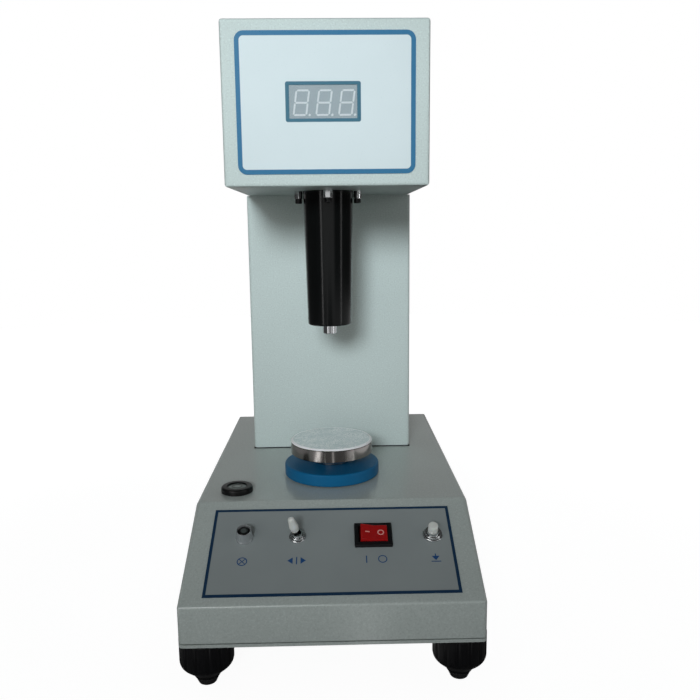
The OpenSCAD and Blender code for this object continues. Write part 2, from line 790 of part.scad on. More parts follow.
module base_plate() color(paint) difference() {
    translate([0, 0, foot_clear]) linear_extrude(plate_t)
        soft_rect(-base_w / 2, base_w / 2, front_y, rear_y, bend_r);
    for (p = feet) translate(p) bar(foot_screw_d + 2 * clear_gap, foot_clear - 1, plate_top + 1);
    for (p = tabs) translate(p) bar(case_screw_d + 2 * hole_gap, foot_clear - 1, plate_top + 1);
}

// Pan head screw along z, its head below z = 0
module case_screw(length) {
    bar(case_screw_d, 0, length);
    bar(case_head_d, -case_head_h, 0);
}

module case_screws() color(zinc) {
    for (p = tabs) translate([p.x, p.y, foot_clear]) case_screw(plate_t + tab_t);
    for (p = rear_screws) translate([p.x, col_rear + sheet, p.y])
        rotate([90, 0, 0]) case_screw(2 * sheet + screw_tail);
}

// Feet

module foot_nuts() color(zinc)
    for (p = feet) translate(p) difference() {
        hex(foot_nut_af, plate_top, plate_top + foot_nut_h);
        bar(foot_screw_d + 2 * run_gap, plate_top - 1, plate_top + foot_nut_h + 1);
    }

module foot_pad(p) color(black) translate(p) difference() {
    rotate_extrude() polygon(rounded(
        [[0, 0], [pad_low_d / 2, 0], [pad_top_d / 2, pad_h], [0, pad_h]],
        [0, pad_round, pad_round, 0]));
    bar(foot_tip_d + 2 * run_gap, knob_low - foot_tip_l - clear_gap, pad_h + 1);
}

module foot_knob(p) color(black) translate(p) difference() {
    rotate_extrude() polygon(rounded(
        [[0, knob_low], [knob_neck_d / 2, knob_low], [knob_neck_d / 2, knob_low + knob_neck],
         [knob_d / 2, knob_low + knob_taper], [knob_d / 2, knob_top], [0, knob_top]],
        [0, 0, knob_neck / 2, knob_round, knob_edge, 0]));
    bar(foot_screw_d + 2 * fit_gap, knob_low - 1, knob_top + 1);
    for (i = [1 : knob_grooves]) rotate([0, 0, i * 360 / knob_grooves])
        translate([knob_d / 2 + groove_d / 2 - groove_depth, 0, 0])
            bar(groove_d, knob_low - 1, knob_top + 1);
}

module foot_screw(p) color(zinc) translate(p) {
    bar(foot_screw_d, knob_low, plate_top + foot_screw_up);
    bar(foot_tip_d, knob_low - foot_tip_l, knob_low + 1);
}

// Bubble level

module on_level()
    translate([-level_x, front_y + panel_run + level_back, 0]) children();

module level_body() color(black) on_level() difference() {
    union() {
        rotate_extrude() polygon(rounded(
            [[0, base_h], [level_d / 2, base_h], [level_d / 2, base_h + level_h], [0, base_h + level_h]],
            [0, 0, level_round, 0]));
        bar(level_spigot_d, base_h - level_depth, base_h + 1);
    }
    bar(vial_d + 2 * fit_gap, base_h - level_depth + level_floor, base_h + level_h + 1);
}

module level_vial() color("#C9D4CC") on_level()
    bar(vial_d, base_h - level_depth + level_floor, base_h + level_h - vial_recess);

// Panel film and controls

module panel_film() color("#8E9593") difference() {
    on_panel(0, film_gap) span(-film_w / 2, film_w / 2, 0, film_l, 0, film_t);
    panel_holes(-1, film_t + 1);
}

// Round nut of two steps on a bush of the given diameter
module dress_nut(d, bush) difference() {
    rotate_extrude() polygon(rounded(
        [[0, film_t], [d / 2, film_t], [d / 2, film_t + dress_nut_t / 2],
         [d / 2 - dress_step, film_t + dress_nut_t / 2], [d / 2 - dress_step, nut_top], [0, nut_top]],
        [0, 0, dress_round, 0, dress_round, 0]));
    bar(bush + 2 * fit_gap, 0, nut_top + 1);
}

module panel_nuts() color(chrome) {
    on_panel(toggle_x) dress_nut(toggle_nut_d, toggle_bush_d);
    on_panel(button_x) dress_nut(button_nut_d, button_bush_d);
    on_panel(lamp_x) difference() {
        hex(lamp_nut_af, -sheet - dress_nut_t, -sheet);
        bar(lamp_stem_d + 2 * fit_gap, -sheet - dress_nut_t - 1, 0);
    }
}

module lamp_bezel() color(chrome) on_panel(lamp_x) difference() {
    union() {
        rotate_extrude() polygon([
            [0, film_t], [lamp_d / 2 + lamp_flange, film_t],
            [lamp_d / 2 + lamp_flange, film_t + lamp_flange_t],
            [lamp_d / 2, film_t + lamp_flange_t + lamp_flange],
            [lamp_d / 2 - lamp_taper, lamp_top], [0, lamp_top]]);
        bar(lamp_stem_d, lamp_end, film_t + lamp_flange_t);
    }
    bar(lamp_well_d, lamp_well_z, lamp_top + 1);
    bar(led_d + 2 * fit_gap, lamp_end - 1, lamp_top);
}

module lamp_light() color("#2A1517") on_panel(lamp_x) {
    lens_r = lamp_well_d / 2 - fit_gap;
    lens_top = lamp_top - lens_sink;
    bar(led_d, lamp_end, lens_top - lens_round);
    rotate_extrude() polygon(rounded(
        [[0, lamp_well_z], [lens_r, lamp_well_z], [lens_r, lens_top], [0, lens_top]],
        [0, 0, lens_round, 0]));
}

// Solder tags in a row across x, below the body that ends at z
module solder_tags(places, z)
    for (x = places) translate([x, 0, 0]) block(tag_t, tag_w, z - tag_l, z + 1);

module toggle_body() color(steel) on_panel(toggle_x) difference() {
    union() {
        bar(toggle_bush_d, -sheet - 1, bush_end);
        block(toggle_body_w, toggle_body_l, -sheet - toggle_body_h, -sheet);
        solder_tags([-toggle_body_w / 3, 0, toggle_body_w / 3], -sheet - toggle_body_h);
    }
    bar(toggle_bore_d, toggle_pivot - toggle_well, bush_end + 1);
    translate([0, 0, toggle_pivot]) rotate([90, 0, 0])
        cylinder(h = 2 * toggle_bush_d, d = toggle_pin_d + 2 * run_gap, center = true);
}

// Place on the toggle's lever, leaning left, z along the lever from its pivot
module on_lever()
    on_panel(toggle_x) translate([0, 0, toggle_pivot]) rotate([0, -toggle_lean, 0]) children();

module toggle_lever() color(chrome) on_lever() {
    sphere(d = toggle_bore_d - 2 * clear_gap);
    bar(lever_d, 0, lever_top - fit_gap);
    rotate([90, 0, 0])
        cylinder(h = toggle_bush_d - toggle_wall, d = toggle_pin_d, center = true);
}

module toggle_cap() color(white) on_lever() difference() {
    rotate_extrude() polygon(rounded(
        [[0, lever_cap_z], [toggle_foot_d / 2, lever_cap_z],
         [toggle_cap_d / 2, lever_cap_z + toggle_cap_up], [toggle_tip_d / 2, lever_cap_top],
         [0, lever_cap_top]],
        [0, (toggle_foot_d - lever_d) / 4, toggle_cap_up, 0.4 * toggle_tip_d, 0]));
    bar(lever_d + 2 * fit_gap, lever_cap_z - 1, lever_top);
}

module rocker_housing() color(black) on_panel(rocker_x) difference() {
    union() {
        intersection() {
            block(frame_w, frame_l, film_t, film_t + frame_h);
            translate([0, 0, film_t]) soft_box(-frame_w / 2, frame_w / 2, -frame_l / 2, frame_l / 2,
                                               -frame_h, frame_h, frame_round);
        }
        block(rocker_body_w, rocker_body_l, -sheet - rocker_depth, film_t + 1);
        solder_tags([-rocker_body_w / 4, rocker_body_w / 4], -sheet - rocker_depth);
    }
    block(rocker_well_l, rocker_well_w, rocker_pivot - rocker_well, film_t + frame_h + 1);
    translate([0, 0, rocker_pivot]) rotate([90, 0, 0])
        cylinder(h = rocker_body_l, d = rocker_pin_d + 2 * run_gap, center = true);
}

module rocker() color("#A31B1F")
    on_panel(rocker_x) translate([0, 0, rocker_pivot]) rotate([0, rocker_tilt, 0]) {
        end = rocker_l / 2;
        end_h = crease_h + end * tan(rocker_tilt);
        along_y(-rocker_w / 2, rocker_w / 2) polygon(rounded(
            [[-end, -rocker_side], [-end / 2, -rocker_belly], [end / 2, -rocker_belly],
             [end, -rocker_side], [end, end_h], [0, crease_h], [-end, end_h]],
            [0, 0, 0, 0, rocker_round, 0, rocker_round]));
        rotate([90, 0, 0])
            cylinder(h = rocker_body_l - 2 * clear_gap, d = rocker_pin_d, center = true);
    }

module button_body() color(steel) on_panel(button_x) difference() {
    union() {
        bar(button_bush_d, -sheet - 1, bush_end);
        bar(button_body_d, -sheet - button_depth, -sheet);
        solder_tags([-button_body_d / 4, button_body_d / 4], -sheet - button_depth);
    }
    bar(button_cap_d + 2 * run_gap, button_stop - 1, bush_end + 1);
    bar(button_collar_d + 2 * clear_gap, -sheet - button_depth + button_end, button_stop);
}

module button_cap() color(white) on_panel(button_x) {
    rotate_extrude() polygon(rounded(
        [[0, button_stop - button_collar_l], [button_cap_d / 2, button_stop - button_collar_l],
         [button_cap_d / 2, button_top], [0, button_top]], [0, 0, button_round, 0]));
    bar(button_collar_d, button_stop - button_collar_l, button_stop - clear_gap);
}

// Power inlet and what it feeds

module socket_outline()
    polygon([[-socket_w / 2, -socket_h / 2], [socket_w / 2, -socket_h / 2],
             [socket_w / 2, socket_h / 2 - socket_chamfer], [socket_w / 2 - socket_chamfer, socket_h / 2],
             [socket_chamfer - socket_w / 2, socket_h / 2], [-socket_w / 2, socket_h / 2 - socket_chamfer]]);

module power_inlet() color(black) on_rear(-inlet_x, inlet_z) difference() {
    union() {
        linear_extrude(inlet_rim)
            soft_rect(-inlet_w / 2, inlet_w / 2, -inlet_h / 2, inlet_h / 2, bend_r);
        block(inlet_w - 2 * (inlet_lap + hole_gap), inlet_h - 2 * (inlet_lap + hole_gap), -inlet_depth, 1);
    }
    translate([0, socket_y, socket_floor]) linear_extrude(far) socket_outline();
    translate([0, drawer_y, 0])
        block(drawer_w + 2 * clear_gap, drawer_h + 2 * clear_gap, drawer_end - clear_gap, far);
}

module inlet_pins() color(zinc) on_rear(-inlet_x, inlet_z)
    for (i = [-1 : 1]) translate([i * pin_pitch, socket_y + (1 - 2 * abs(i)) * pin_offset, 0])
        block(pin_t, pin_w, socket_floor, socket_floor + pin_l);

module fuse_drawer() color("#26262A") on_rear(-inlet_x, inlet_z) translate([0, drawer_y, 0])
    difference() {
        block(drawer_w, drawer_h, drawer_end, inlet_rim);
        translate([0, -drawer_h / 2, 0])
            block(drawer_w / 2, 2 * drawer_notch, inlet_rim - drawer_notch, inlet_rim + 1);
        translate([0, drawer_wall, 0]) block(drawer_w - 2 * drawer_wall, drawer_h,
                                             drawer_end + drawer_wall, inlet_rim - drawer_front);
    }

module transformer_core() color("#6E6F72") translate([core_x, core_y, plate_top]) {
    difference() {
        block(core_w, core_stack, 0, core_h);
        for (side = [-1, 1]) translate([side * (leg_w + core_window / 2), 0, 0])
            block(core_window, core_stack + 2, leg_w, core_h - leg_w);
    }
    for (side = [-1, 1]) translate([side * (core_w / 2 + core_foot_l / 2 - 1), 0, 0])
        block(core_foot_l + 2, core_stack / 2, 0, core_foot_t);
}

module transformer_coil() color("#B8863B") translate([core_x, core_y, plate_top]) difference() {
    block(2 * (leg_w + core_window - clear_gap), core_stack + 2 * core_window, leg_w, core_h - leg_w);
    block(2 * (leg_w + fit_gap), core_stack + 2 * fit_gap, 0, core_h);
}

module main_board() color("#2F6B4A") difference() {
    translate([board_x, board_y, 0]) {
        top = board_z + board_t;
        block(board_w, board_l, board_z, top);
        translate([-board_w / 5, board_l / 5, 0]) bar(capacitor_d, board_z, top + capacitor_h);
        translate([board_w / 5, board_l / 5, 0]) block(relay_l, relay_w, board_z, top + relay_h);
        translate([0, -board_l / 6, 0]) block(chip_w, chip_l, board_z, top + chip_h);
    }
    for (p = board_holes) translate(p)
        bar(case_screw_d + 2 * hole_gap, board_z - 1, board_z + board_t + 1);
}

module board_standoffs() color(brass) {
    for (p = board_holes) translate(p) {
        hex(standoff_af, plate_top, board_z);
        bar(case_screw_d, board_z - 1, board_z + board_t + screw_tail);
    }
    for (p = display_holes) translate([p.x, head_front + sheet, p.y]) rotate([-90, 0, 0]) {
        hex(standoff_af, 0, display_d - sheet);
        bar(case_screw_d, 0, display_d - sheet + board_t + screw_tail);
    }
}

// Lifting platform

module lift_guide() color(steel) on_axis() {
    difference() {
        union() {
            bar(guide_flange_d, base_h - sheet - guide_flange_t, base_h - sheet);
            bar(guide_d, base_h - guide_l, base_h - sheet);
        }
        bar(lift_d + 2 * run_gap, base_h - guide_l - 1, base_h);
        bar(journal_d + 2 * run_gap, base_h - journal_l - clear_gap, base_h);
    }
    span(-key_w / 2, key_w / 2, lift_d / 2 - key_depth + clear_gap, (lift_d + guide_d) / 4,
         key_z, key_z + key_l);
}

module thrust_washer() color("#E8E6DC") on_axis() difference() {
    bar(washer_d, base_h, base_h + washer_t);
    bar(journal_d + 4 * clear_gap, base_h - 1, base_h + washer_t + 1);
}

module lift_wheel() color("#15568C") on_axis() difference() {
    rotate_extrude() polygon(rounded(
        [[0, wheel_z], [wheel_d / 2, wheel_z], [wheel_d / 2, wheel_top], [0, wheel_top]],
        [0, wheel_round, wheel_round, 0]));
    bar(journal_d + 2 * fit_gap, wheel_z - 1, wheel_top + 1);
}

module lift_nut() color(brass) on_axis() difference() {
    bar(journal_d, base_h - journal_l, wheel_top);
    bar(lift_d + 2 * run_gap, base_h - journal_l - 1, wheel_top + 1);
}

module platform() color(chrome) on_axis() difference() {
    rotate_extrude() polygon([
        [0, hub_z], [hub_d / 2, hub_z], [hub_d / 2, disc_z],
        [platform_d / 2 - platform_edge, disc_z], [platform_d / 2, disc_z + platform_edge],
        [platform_d / 2, platform_top - platform_chamfer],
        [platform_d / 2 - platform_chamfer, platform_top], [0, platform_top]]);
    bar(lift_d + 2 * fit_gap, hub_z - 1, hub_z + lift_seat);
}

module lift_screw() color(steel) on_axis() difference() {
    bar(lift_d, lift_end, hub_z + lift_seat);
    span(-key_w / 2 - clear_gap, key_w / 2 + clear_gap, lift_d / 2 - key_depth, lift_d,
         lift_end - 1, key_z + key_l + clear_gap);
}

// Column and head

module column_shell() color(paint) difference() {
    translate([0, 0, base_h]) linear_extrude(head_z - base_h) polygon(rounded(
        box_outline(-col_w / 2, col_w / 2, col_front, col_rear), [bend_r, bend_r, bend_r / 2, bend_r / 2]));
    span(-col_w / 2 + sheet, col_w / 2 - sheet, col_front + sheet, col_rear - sheet,
         base_h + sheet, head_z - sheet);
    span(-col_w / 2 + lip_w, col_w / 2 - lip_w, col_front + lip_w, col_rear - lip_w,
         base_h - 1, head_z + 1);
    span(-col_w / 2 + lip_w, col_w / 2 - lip_w, col_front + lip_w, col_rear + 1,
         base_h + lip_w, head_z - lip_w);
    for (p = bolts) translate(p) bar(bolt_d + 2 * hole_gap, base_h - 1, head_z + 1);
    rear_holes(fit_gap);
}

module head_shell() color(paint) difference() {
    soft_box(-col_w / 2, col_w / 2, head_front, col_rear, head_z, head_top, bend_r);
    span(-col_w / 2 + sheet, col_w / 2 - sheet, head_front + sheet, col_rear - sheet,
         head_z + sheet, head_top - sheet);
    span(-col_w / 2 + lip_w, col_w / 2 - lip_w, col_front, col_rear + 1,
         head_z + lip_w, head_top - lip_w);
    span(-col_w / 2 + lip_w, col_w / 2 - lip_w, col_front + lip_w, col_rear - lip_w,
         head_z - 1, head_z + 2 * sheet);
    for (p = bolts) translate(p) bar(bolt_d + 2 * hole_gap, head_z - 1, head_z + 2 * sheet);
    on_axis() {
        bar(2 * pot_r + 2 * hole_gap, head_z - 1, head_z + 2 * sheet);
        hang_places() bar(hang_screw_d + 2 * hole_gap, head_z - 1, head_z + 2 * sheet);
    }
    along_y(head_front - 1, head_front + 2 * sheet) translate([display_x, display_mid])
        square([display_w + 2 * hole_gap, display_h + 2 * hole_gap], center = true);
    rear_holes(fit_gap);
}

// Holes for the rear cover's screws, through the lips behind
module rear_holes(gap)
    for (p = rear_screws) translate([p.x, col_rear + 3 * sheet, p.y]) rotate([90, 0, 0])
        cylinder(h = 6 * sheet, d = case_screw_d + 2 * gap);

// Bolt through two sheets that meet at z = 0, its nut below
module frame_bolt() {
    hex(bolt_af, sheet, sheet + bolt_head);
    bar(bolt_d, -sheet - bolt_nut - screw_tail, sheet + 1);
    hex(bolt_af, -sheet - bolt_nut, -sheet);
}

module frame_bolts() color(zinc)
    for (p = bolts, z = [base_h, head_z]) translate([p.x, p.y, z]) frame_bolt();

// Row of upright vent slots with round ends
module vent_row(z)
    for (i = [0 : vent_count - 1]) translate([(i - (vent_count - 1) / 2) * vent_pitch, z]) {
        square([vent_w, vent_l - vent_w], center = true);
        for (end = [-1, 1]) translate([0, end * (vent_l - vent_w) / 2]) circle(d = vent_w);
    }

module rear_cover() color(paint) difference() {
    along_y(col_rear, col_rear + sheet) difference() {
        soft_rect(-col_w / 2 + cover_margin, col_w / 2 - cover_margin,
                  base_h + cover_margin, head_top - cover_margin, bend_r);
        vent_row(base_h + lip_w + vent_l);
        vent_row(head_z + head_h / 2);
    }
    rear_holes(hole_gap);
}

// Display

module head_film() color("#D6E4EA") along_y(head_front - film_t, head_front) difference() {
    soft_rect(-head_film_w / 2, head_film_w / 2, head_film_mid - head_film_h / 2,
              head_film_mid + head_film_h / 2, head_film_r);
    translate([display_x, display_mid])
        square([display_w + 2 * fit_gap, display_h + 2 * fit_gap], center = true);
}

module on_display()
    translate([display_x, head_front, display_mid]) rotate([90, 0, 0]) children();

module display_window() color("#9FB0B4") on_display() block(display_w, display_h, 0, window_t);

module display_block() color("#8F9697") on_display() block(display_w, display_h, -display_d, 0);

module display_board() color("#2F6B4A") difference() {
    on_display() block(display_w + 2 * board_margin, display_h + 2 * board_margin,
                       -display_d - board_t, -display_d);
    for (p = display_holes) translate([p.x, display_back - 1, p.y]) rotate([-90, 0, 0])
        cylinder(h = board_t + 2, d = case_screw_d + 2 * hole_gap);
}

// Cone unit

module sleeve() color(black) on_axis() difference() {
    rotate_extrude() polygon(rounded(
        [[0, sleeve_z], [sleeve_end_d / 2, sleeve_z], [sleeve_top_d / 2, head_z], [0, head_z]],
        [0, sleeve_round, 0, 0]));
    bar(sleeve_bore, sleeve_z + sleeve_floor, head_z + 1);
    bar(bush_d + 2 * fit_gap, sleeve_z - 1, sleeve_z + sleeve_floor + 1);
}

module hang_spacers() color(steel) on_axis() hang_places() difference() {
    hex(spacer_af, head_z - spacer_l, head_z);
    bar(hang_screw_d + 2 * hole_gap, head_z - spacer_l - 1, head_z + 1);
}

module hang_screws() color(black) on_axis() hang_places() {
    bar(hang_screw_d, head_z - spacer_l - 1, flange_top - fit_gap);
    rotate_extrude() polygon(rounded(
        [[0, head_z - spacer_l - hang_head_h], [hang_head_d / 2, head_z - spacer_l - hang_head_h],
         [hang_head_d / 2, head_z - spacer_l], [0, head_z - spacer_l]], [0, hang_head_h / 6, 0, 0]));
}

module guide_bushes() color(brass) on_axis() {
    difference() {
        union() {
            bar(bush_d, sleeve_z + clear_gap, bush_top);
            bar(sleeve_bore - 2 * fit_gap, sleeve_z + sleeve_floor, sleeve_z + sleeve_floor + bush_flange);
        }
        bar(rod_d + 2 * run_gap, sleeve_z - 1, bush_top + 1);
    }
    difference() {
        bar(upper_bush_d, flange_top - upper_bush_l, flange_top);
        bar(spindle_d + 2 * run_gap, flange_top - upper_bush_l - 1, flange_top + 1);
    }
}

module magnet_pot() color("#8B8F93") on_axis() difference() {
    union() {
        bar(2 * pot_r, pole_z, flange_z + 1);
        bar(flange_d, flange_z, flange_top);
    }
    difference() {
        bar(2 * (pot_r - pot_wall), pole_z - 1, pole_z + coil_l);
        bar(core_d, pole_z - 2, pole_z + coil_l + 1);
    }
    bar(spindle_d + 2 * clear_gap, pole_z - 1, flange_top + 1);
    bar(upper_bush_d + 2 * fit_gap, flange_top - upper_bush_l, flange_top + 1);
    hang_places() bar(hang_screw_d + 2 * fit_gap, flange_z - 1, flange_top + 1);
}

module magnet_coil() color("#A8672F") on_axis() difference() {
    bar(2 * (pot_r - pot_wall - fit_gap), pole_z + clear_gap, pole_z + coil_l);
    bar(core_d + 2 * fit_gap, pole_z, pole_z + coil_l + 1);
}

module measuring_rod() color(chrome) on_axis() difference() {
    union() {
        rotate_extrude() polygon([
            [0, rod_z], [rod_d / 2 - rod_chamfer, rod_z], [rod_d / 2, rod_z + rod_chamfer],
            [rod_d / 2, armature_z], [0, armature_z]]);
        bar(spindle_d, armature_z - 1, spindle_top);
    }
    bar(socket_d, rod_z - 1, rod_z + socket_depth);
}

module armature() color("#8B8F93") on_axis() difference() {
    bar(armature_d, armature_z, armature_z + armature_t);
    bar(spindle_d + 2 * fit_gap, armature_z - 1, armature_z + armature_t + 1);
}

module sensor() color("#3A3D42") translate([0, scale_back + clear_gap + sensor_d / 2, 0])
    difference() {
        block(sensor_w, sensor_d, flange_top, flange_top + sensor_h);
        translate([0, sensor_d / 2, 0])
            block(sensor_w / 2, sensor_d / 2, flange_top + sensor_h - sensor_step, flange_top + sensor_h + 1);
    }

module scale_strip() color(steel) {
    on_axis() difference() {
        block(clamp_s, clamp_s, spindle_top - clamp_s, spindle_top);
        bar(spindle_d + 2 * fit_gap, 0, far);
    }
    span(-scale_w / 2, scale_w / 2, scale_back - scale_t, scale_back,
         flange_top + scale_gap + rod_travel, spindle_top);
}

base_plate();
base_cover();
case_screws();
foot_nuts();
foot_pad(front_left);  // foot_pad_front_left
foot_knob(front_left);  // foot_knob_front_left
foot_screw(front_left);  // foot_screw_front_left
foot_pad(front_right);  // foot_pad_front_right
foot_knob(front_right);  // foot_knob_front_right
foot_screw(front_right);  // foot_screw_front_right
foot_pad(rear_left);  // foot_pad_rear_left
foot_knob(rear_left);  // foot_knob_rear_left
foot_screw(rear_left);  // foot_screw_rear_left
foot_pad(rear_right);  // foot_pad_rear_right
foot_knob(rear_right);  // foot_knob_rear_right
foot_screw(rear_right);  // foot_screw_rear_right
level_body();
level_vial();
panel_film();
panel_nuts();
lamp_bezel();
lamp_light();
toggle_body();
toggle_lever();
toggle_cap();
rocker_housing();
rocker();
button_body();
button_cap();
power_inlet();
inlet_pins();
fuse_drawer();
transformer_core();
transformer_coil();
main_board();
board_standoffs();
lift_guide();
thrust_washer();
lift_wheel();
lift_nut();
platform();
lift_screw();
column_shell();
head_shell();
frame_bolts();
rear_cover();
head_film();
display_window();
display_block();
display_board();
sleeve();
hang_screws();
hang_spacers();
guide_bushes();
magnet_pot();
magnet_coil();
measuring_rod();
armature();
sensor();
scale_strip();
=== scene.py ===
import json
import math

import bmesh
import bpy
from mathutils import Matrix, Vector

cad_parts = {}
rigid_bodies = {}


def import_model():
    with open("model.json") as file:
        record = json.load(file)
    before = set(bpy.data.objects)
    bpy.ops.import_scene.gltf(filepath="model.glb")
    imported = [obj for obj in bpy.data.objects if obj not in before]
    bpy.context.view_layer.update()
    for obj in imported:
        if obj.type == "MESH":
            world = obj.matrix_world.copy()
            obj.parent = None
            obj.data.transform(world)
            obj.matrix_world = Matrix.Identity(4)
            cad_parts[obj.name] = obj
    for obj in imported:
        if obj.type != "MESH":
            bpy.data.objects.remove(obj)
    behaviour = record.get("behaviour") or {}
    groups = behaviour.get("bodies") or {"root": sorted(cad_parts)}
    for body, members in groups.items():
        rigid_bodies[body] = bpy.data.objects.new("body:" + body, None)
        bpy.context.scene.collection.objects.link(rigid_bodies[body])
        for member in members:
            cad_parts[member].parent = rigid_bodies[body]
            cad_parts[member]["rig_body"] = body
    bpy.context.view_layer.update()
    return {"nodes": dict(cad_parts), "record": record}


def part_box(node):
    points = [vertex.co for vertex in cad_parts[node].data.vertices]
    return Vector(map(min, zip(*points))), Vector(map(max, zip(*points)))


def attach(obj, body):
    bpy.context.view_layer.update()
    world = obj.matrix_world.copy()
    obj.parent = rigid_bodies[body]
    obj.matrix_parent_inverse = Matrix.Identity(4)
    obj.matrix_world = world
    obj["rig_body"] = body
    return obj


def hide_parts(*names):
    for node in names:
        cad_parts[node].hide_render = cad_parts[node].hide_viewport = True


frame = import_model()


# Bottom plate and base cover. Folded 1.2 mm sheet steel under a grey powder coat, glossy with a
# fine orange peel, written darker and more neutral than the column's; the darkness is partly painted
# shade for the dimmer light on the base. The cover drops over the plate and is screwed up from below.
MM = 0.001
slot_of = {entry["node"]: entry["material_slot"] for entry in frame["record"]["subparts"]}


class Shade:
    """A socket of a material's nodes. Sums written on it add Math nodes."""

    def __init__(self, tree, socket):
        self.tree = tree
        self.socket = socket

    def feed(self, socket, value):
        """Links a socket to a value that changes over the surface, or sets it to one that doesn't."""
        if isinstance(value, Shade):
            self.tree.links.new(value.socket, socket)
        else:
            socket.default_value = value

    def add(self, kind, settings, sockets, output=0):
        """Adds any other node from its type, its settings and the values or links of its sockets."""
        node = self.tree.nodes.new("ShaderNode" + kind)
        for name, value in settings.items():
            setattr(node, name, value)
        for name, value in sockets.items():
            self.feed(node.inputs[name], value)
        return Shade(self.tree, node.outputs[output])

    def sum(self, operation, first, second=0.0):
        return self.add("Math", {"operation": operation}, {0: first, 1: second})

    def __add__(self, other):
        return self.sum("ADD", self, other)

    def __radd__(self, other):
        return self.sum("ADD", other, self)

    def __sub__(self, other):
        return self.sum("SUBTRACT", self, other)

    def __rsub__(self, other):
        return self.sum("SUBTRACT", other, self)

    def __mul__(self, other):
        return self.sum("MULTIPLY", self, other)

    def __rmul__(self, other):
        return self.sum("MULTIPLY", other, self)

    def __abs__(self):
        return self.sum("ABSOLUTE", self)

    def least(self, other):
        return self.sum("MINIMUM", self, other)

    def most(self, other):
        return self.sum("MAXIMUM", self, other)

    def along(self, direction):
        """Distance of a place along a direction."""
        return self.add("VectorMath", {"operation": "DOT_PRODUCT"}, {0: self, 1: direction}, 1)

    def length(self):
        """Distance of a place from the origin."""
        return self.add("VectorMath", {"operation": "LENGTH"}, {0: self}, 1)

    def beside(self, other):
        """Distance from an axis, from the distances along two directions square to it."""
        return self.add("CombineXYZ", {}, {0: self, 1: other}).length()

    def step(self, low, high):
        """Rises smoothly from 0 to 1 between two values."""
        return self.add("MapRange", {"interpolation_type": "SMOOTHSTEP"},
                        {"Value": self, "From Min": low, "From Max": high})

    def band(self, low, high, soft):
        """Is 1 between two values and fades to 0 outside them."""
        return self.step(low - soft, low + soft) * (1 - self.step(high - soft, high + soft))

    def mix(self, first, second):
        """The first colour where the socket is 0, the second where it is 1."""
        return self.add("Mix", {"data_type": "RGBA"}, {0: self, 6: first, 7: second}, 2)

    def noise(self, size, detail=2.0):
        """Soft blotches of about that size in metres."""
        return self.add("TexNoise", {}, {"Vector": self, "Scale": 1 / size, "Detail": detail})

    def bump(self, depth, strength=1.0):
        return self.add("Bump", {}, {"Strength": strength, "Distance": depth, "Height": self})


def tint(code, gain=1.0):
    """A colour written as it looks on a screen, in the light units that shaders take."""
    levels = [int(code[i:i + 2], 16) / 255 for i in (0, 2, 4)]
    light = [c / 12.92 if c < 0.04045 else ((c + 0.055) / 1.055) ** 2.4 for c in levels]
    return [gain * c for c in light] + [1.0]


def new_finish(name):
    """An empty material, with the place on the piece that its patterns read."""
    finish = bpy.data.materials.new(name)
    finish.use_nodes = True
    tree = finish.node_tree
    return finish, Shade(tree, tree.nodes.new("ShaderNodeTexCoord").outputs["Object"])


def lay(place, sockets):
    """Puts values and links on the material's own shader."""
    shader = place.tree.nodes["Principled BSDF"]
    for name, value in sockets.items():
        place.feed(shader.inputs[name], value)


def show(name, shape, finish, body, slot, *nodes):
    """Makes a finished shape a piece that rides on a body and stands for the named nodes."""
    crease = math.radians(25)
    mesh = bpy.data.meshes.new(name)
    shape.to_mesh(mesh)
    shape.free()
    mesh.materials.clear()
    mesh.materials.append(finish)
    mesh.shade_smooth()
    mesh.set_sharp_from_angle(angle=crease)
    piece = bpy.data.objects.new(name, mesh)
    bpy.context.scene.collection.objects.link(piece)
    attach(piece, body)
    if nodes:
        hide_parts(*nodes)


def dress(node, finish, ease=0.0):
    """Shows a piece of the instrument with its faces joined and its sharp edges eased."""
    touching = 0.002 * MM
    flat, sharp = math.radians(0.3), math.radians(45)
    source = frame["nodes"][node]
    shape = bmesh.new()
    shape.from_mesh(source.data)
    for face in shape.faces:
        face.material_index = 0
    bmesh.ops.remove_doubles(shape, verts=shape.verts, dist=touching)
    bmesh.ops.dissolve_limit(shape, angle_limit=flat, verts=shape.verts, edges=shape.edges)
    if ease:
        corners = [e for e in shape.edges if e.calc_face_angle(0.0) > sharp]
        bmesh.ops.bevel(shape, geom=corners, offset=ease, affect="EDGES", segments=2, profile=0.5,
                        material=-1, clamp_overlap=True)
    show(node + "_dressed", shape, finish, source["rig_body"], slot_of[node], node)


def powder_coat(name, code, rough, gloss):
    """Stove paint: orange peel about a millimetre across and a faint cloud in the colour, painted darker
    in the peel's hollows as shade and paler on its crests as glints.
    """
    cloud_size, peel_size, fleck_size = 60 * MM, 1.6 * MM, 0.9 * MM
    peel_depth = 0.13 * MM
    finish, place = new_finish(name)
    cloud = place.noise(cloud_size, 3.0)
    peel = place.noise(peel_size, 2.0)
    fleck = place.noise(fleck_size, 1.0)
    colour = cloud.mix(tint(code, 0.94), tint(code, 1.05))
    # Painted shade in the hollows of the peel and painted glints on its crests.
    hollow_painted_shade = fleck.step(0.28, 0.46).mix(tint(code, 0.90), colour)
    lay(place, {"Base Color": fleck.step(0.56, 0.72).mix(hollow_painted_shade, tint(code, 1.10)),
                "Roughness": rough + 0.14 * fleck,
                "Specular IOR Level": gloss,
                "Normal": (peel + 0.4 * fleck).bump(peel_depth, 0.5)})
    return finish


# Darker than the column's coat: partly painted shade for the dimmer light on the base.
base_paint_with_shade = powder_coat("base_paint_with_shade", "B5BDB8", rough=0.14, gloss=0.85)
dress("base_plate", base_paint_with_shade)
dress("base_cover", base_paint_with_shade)


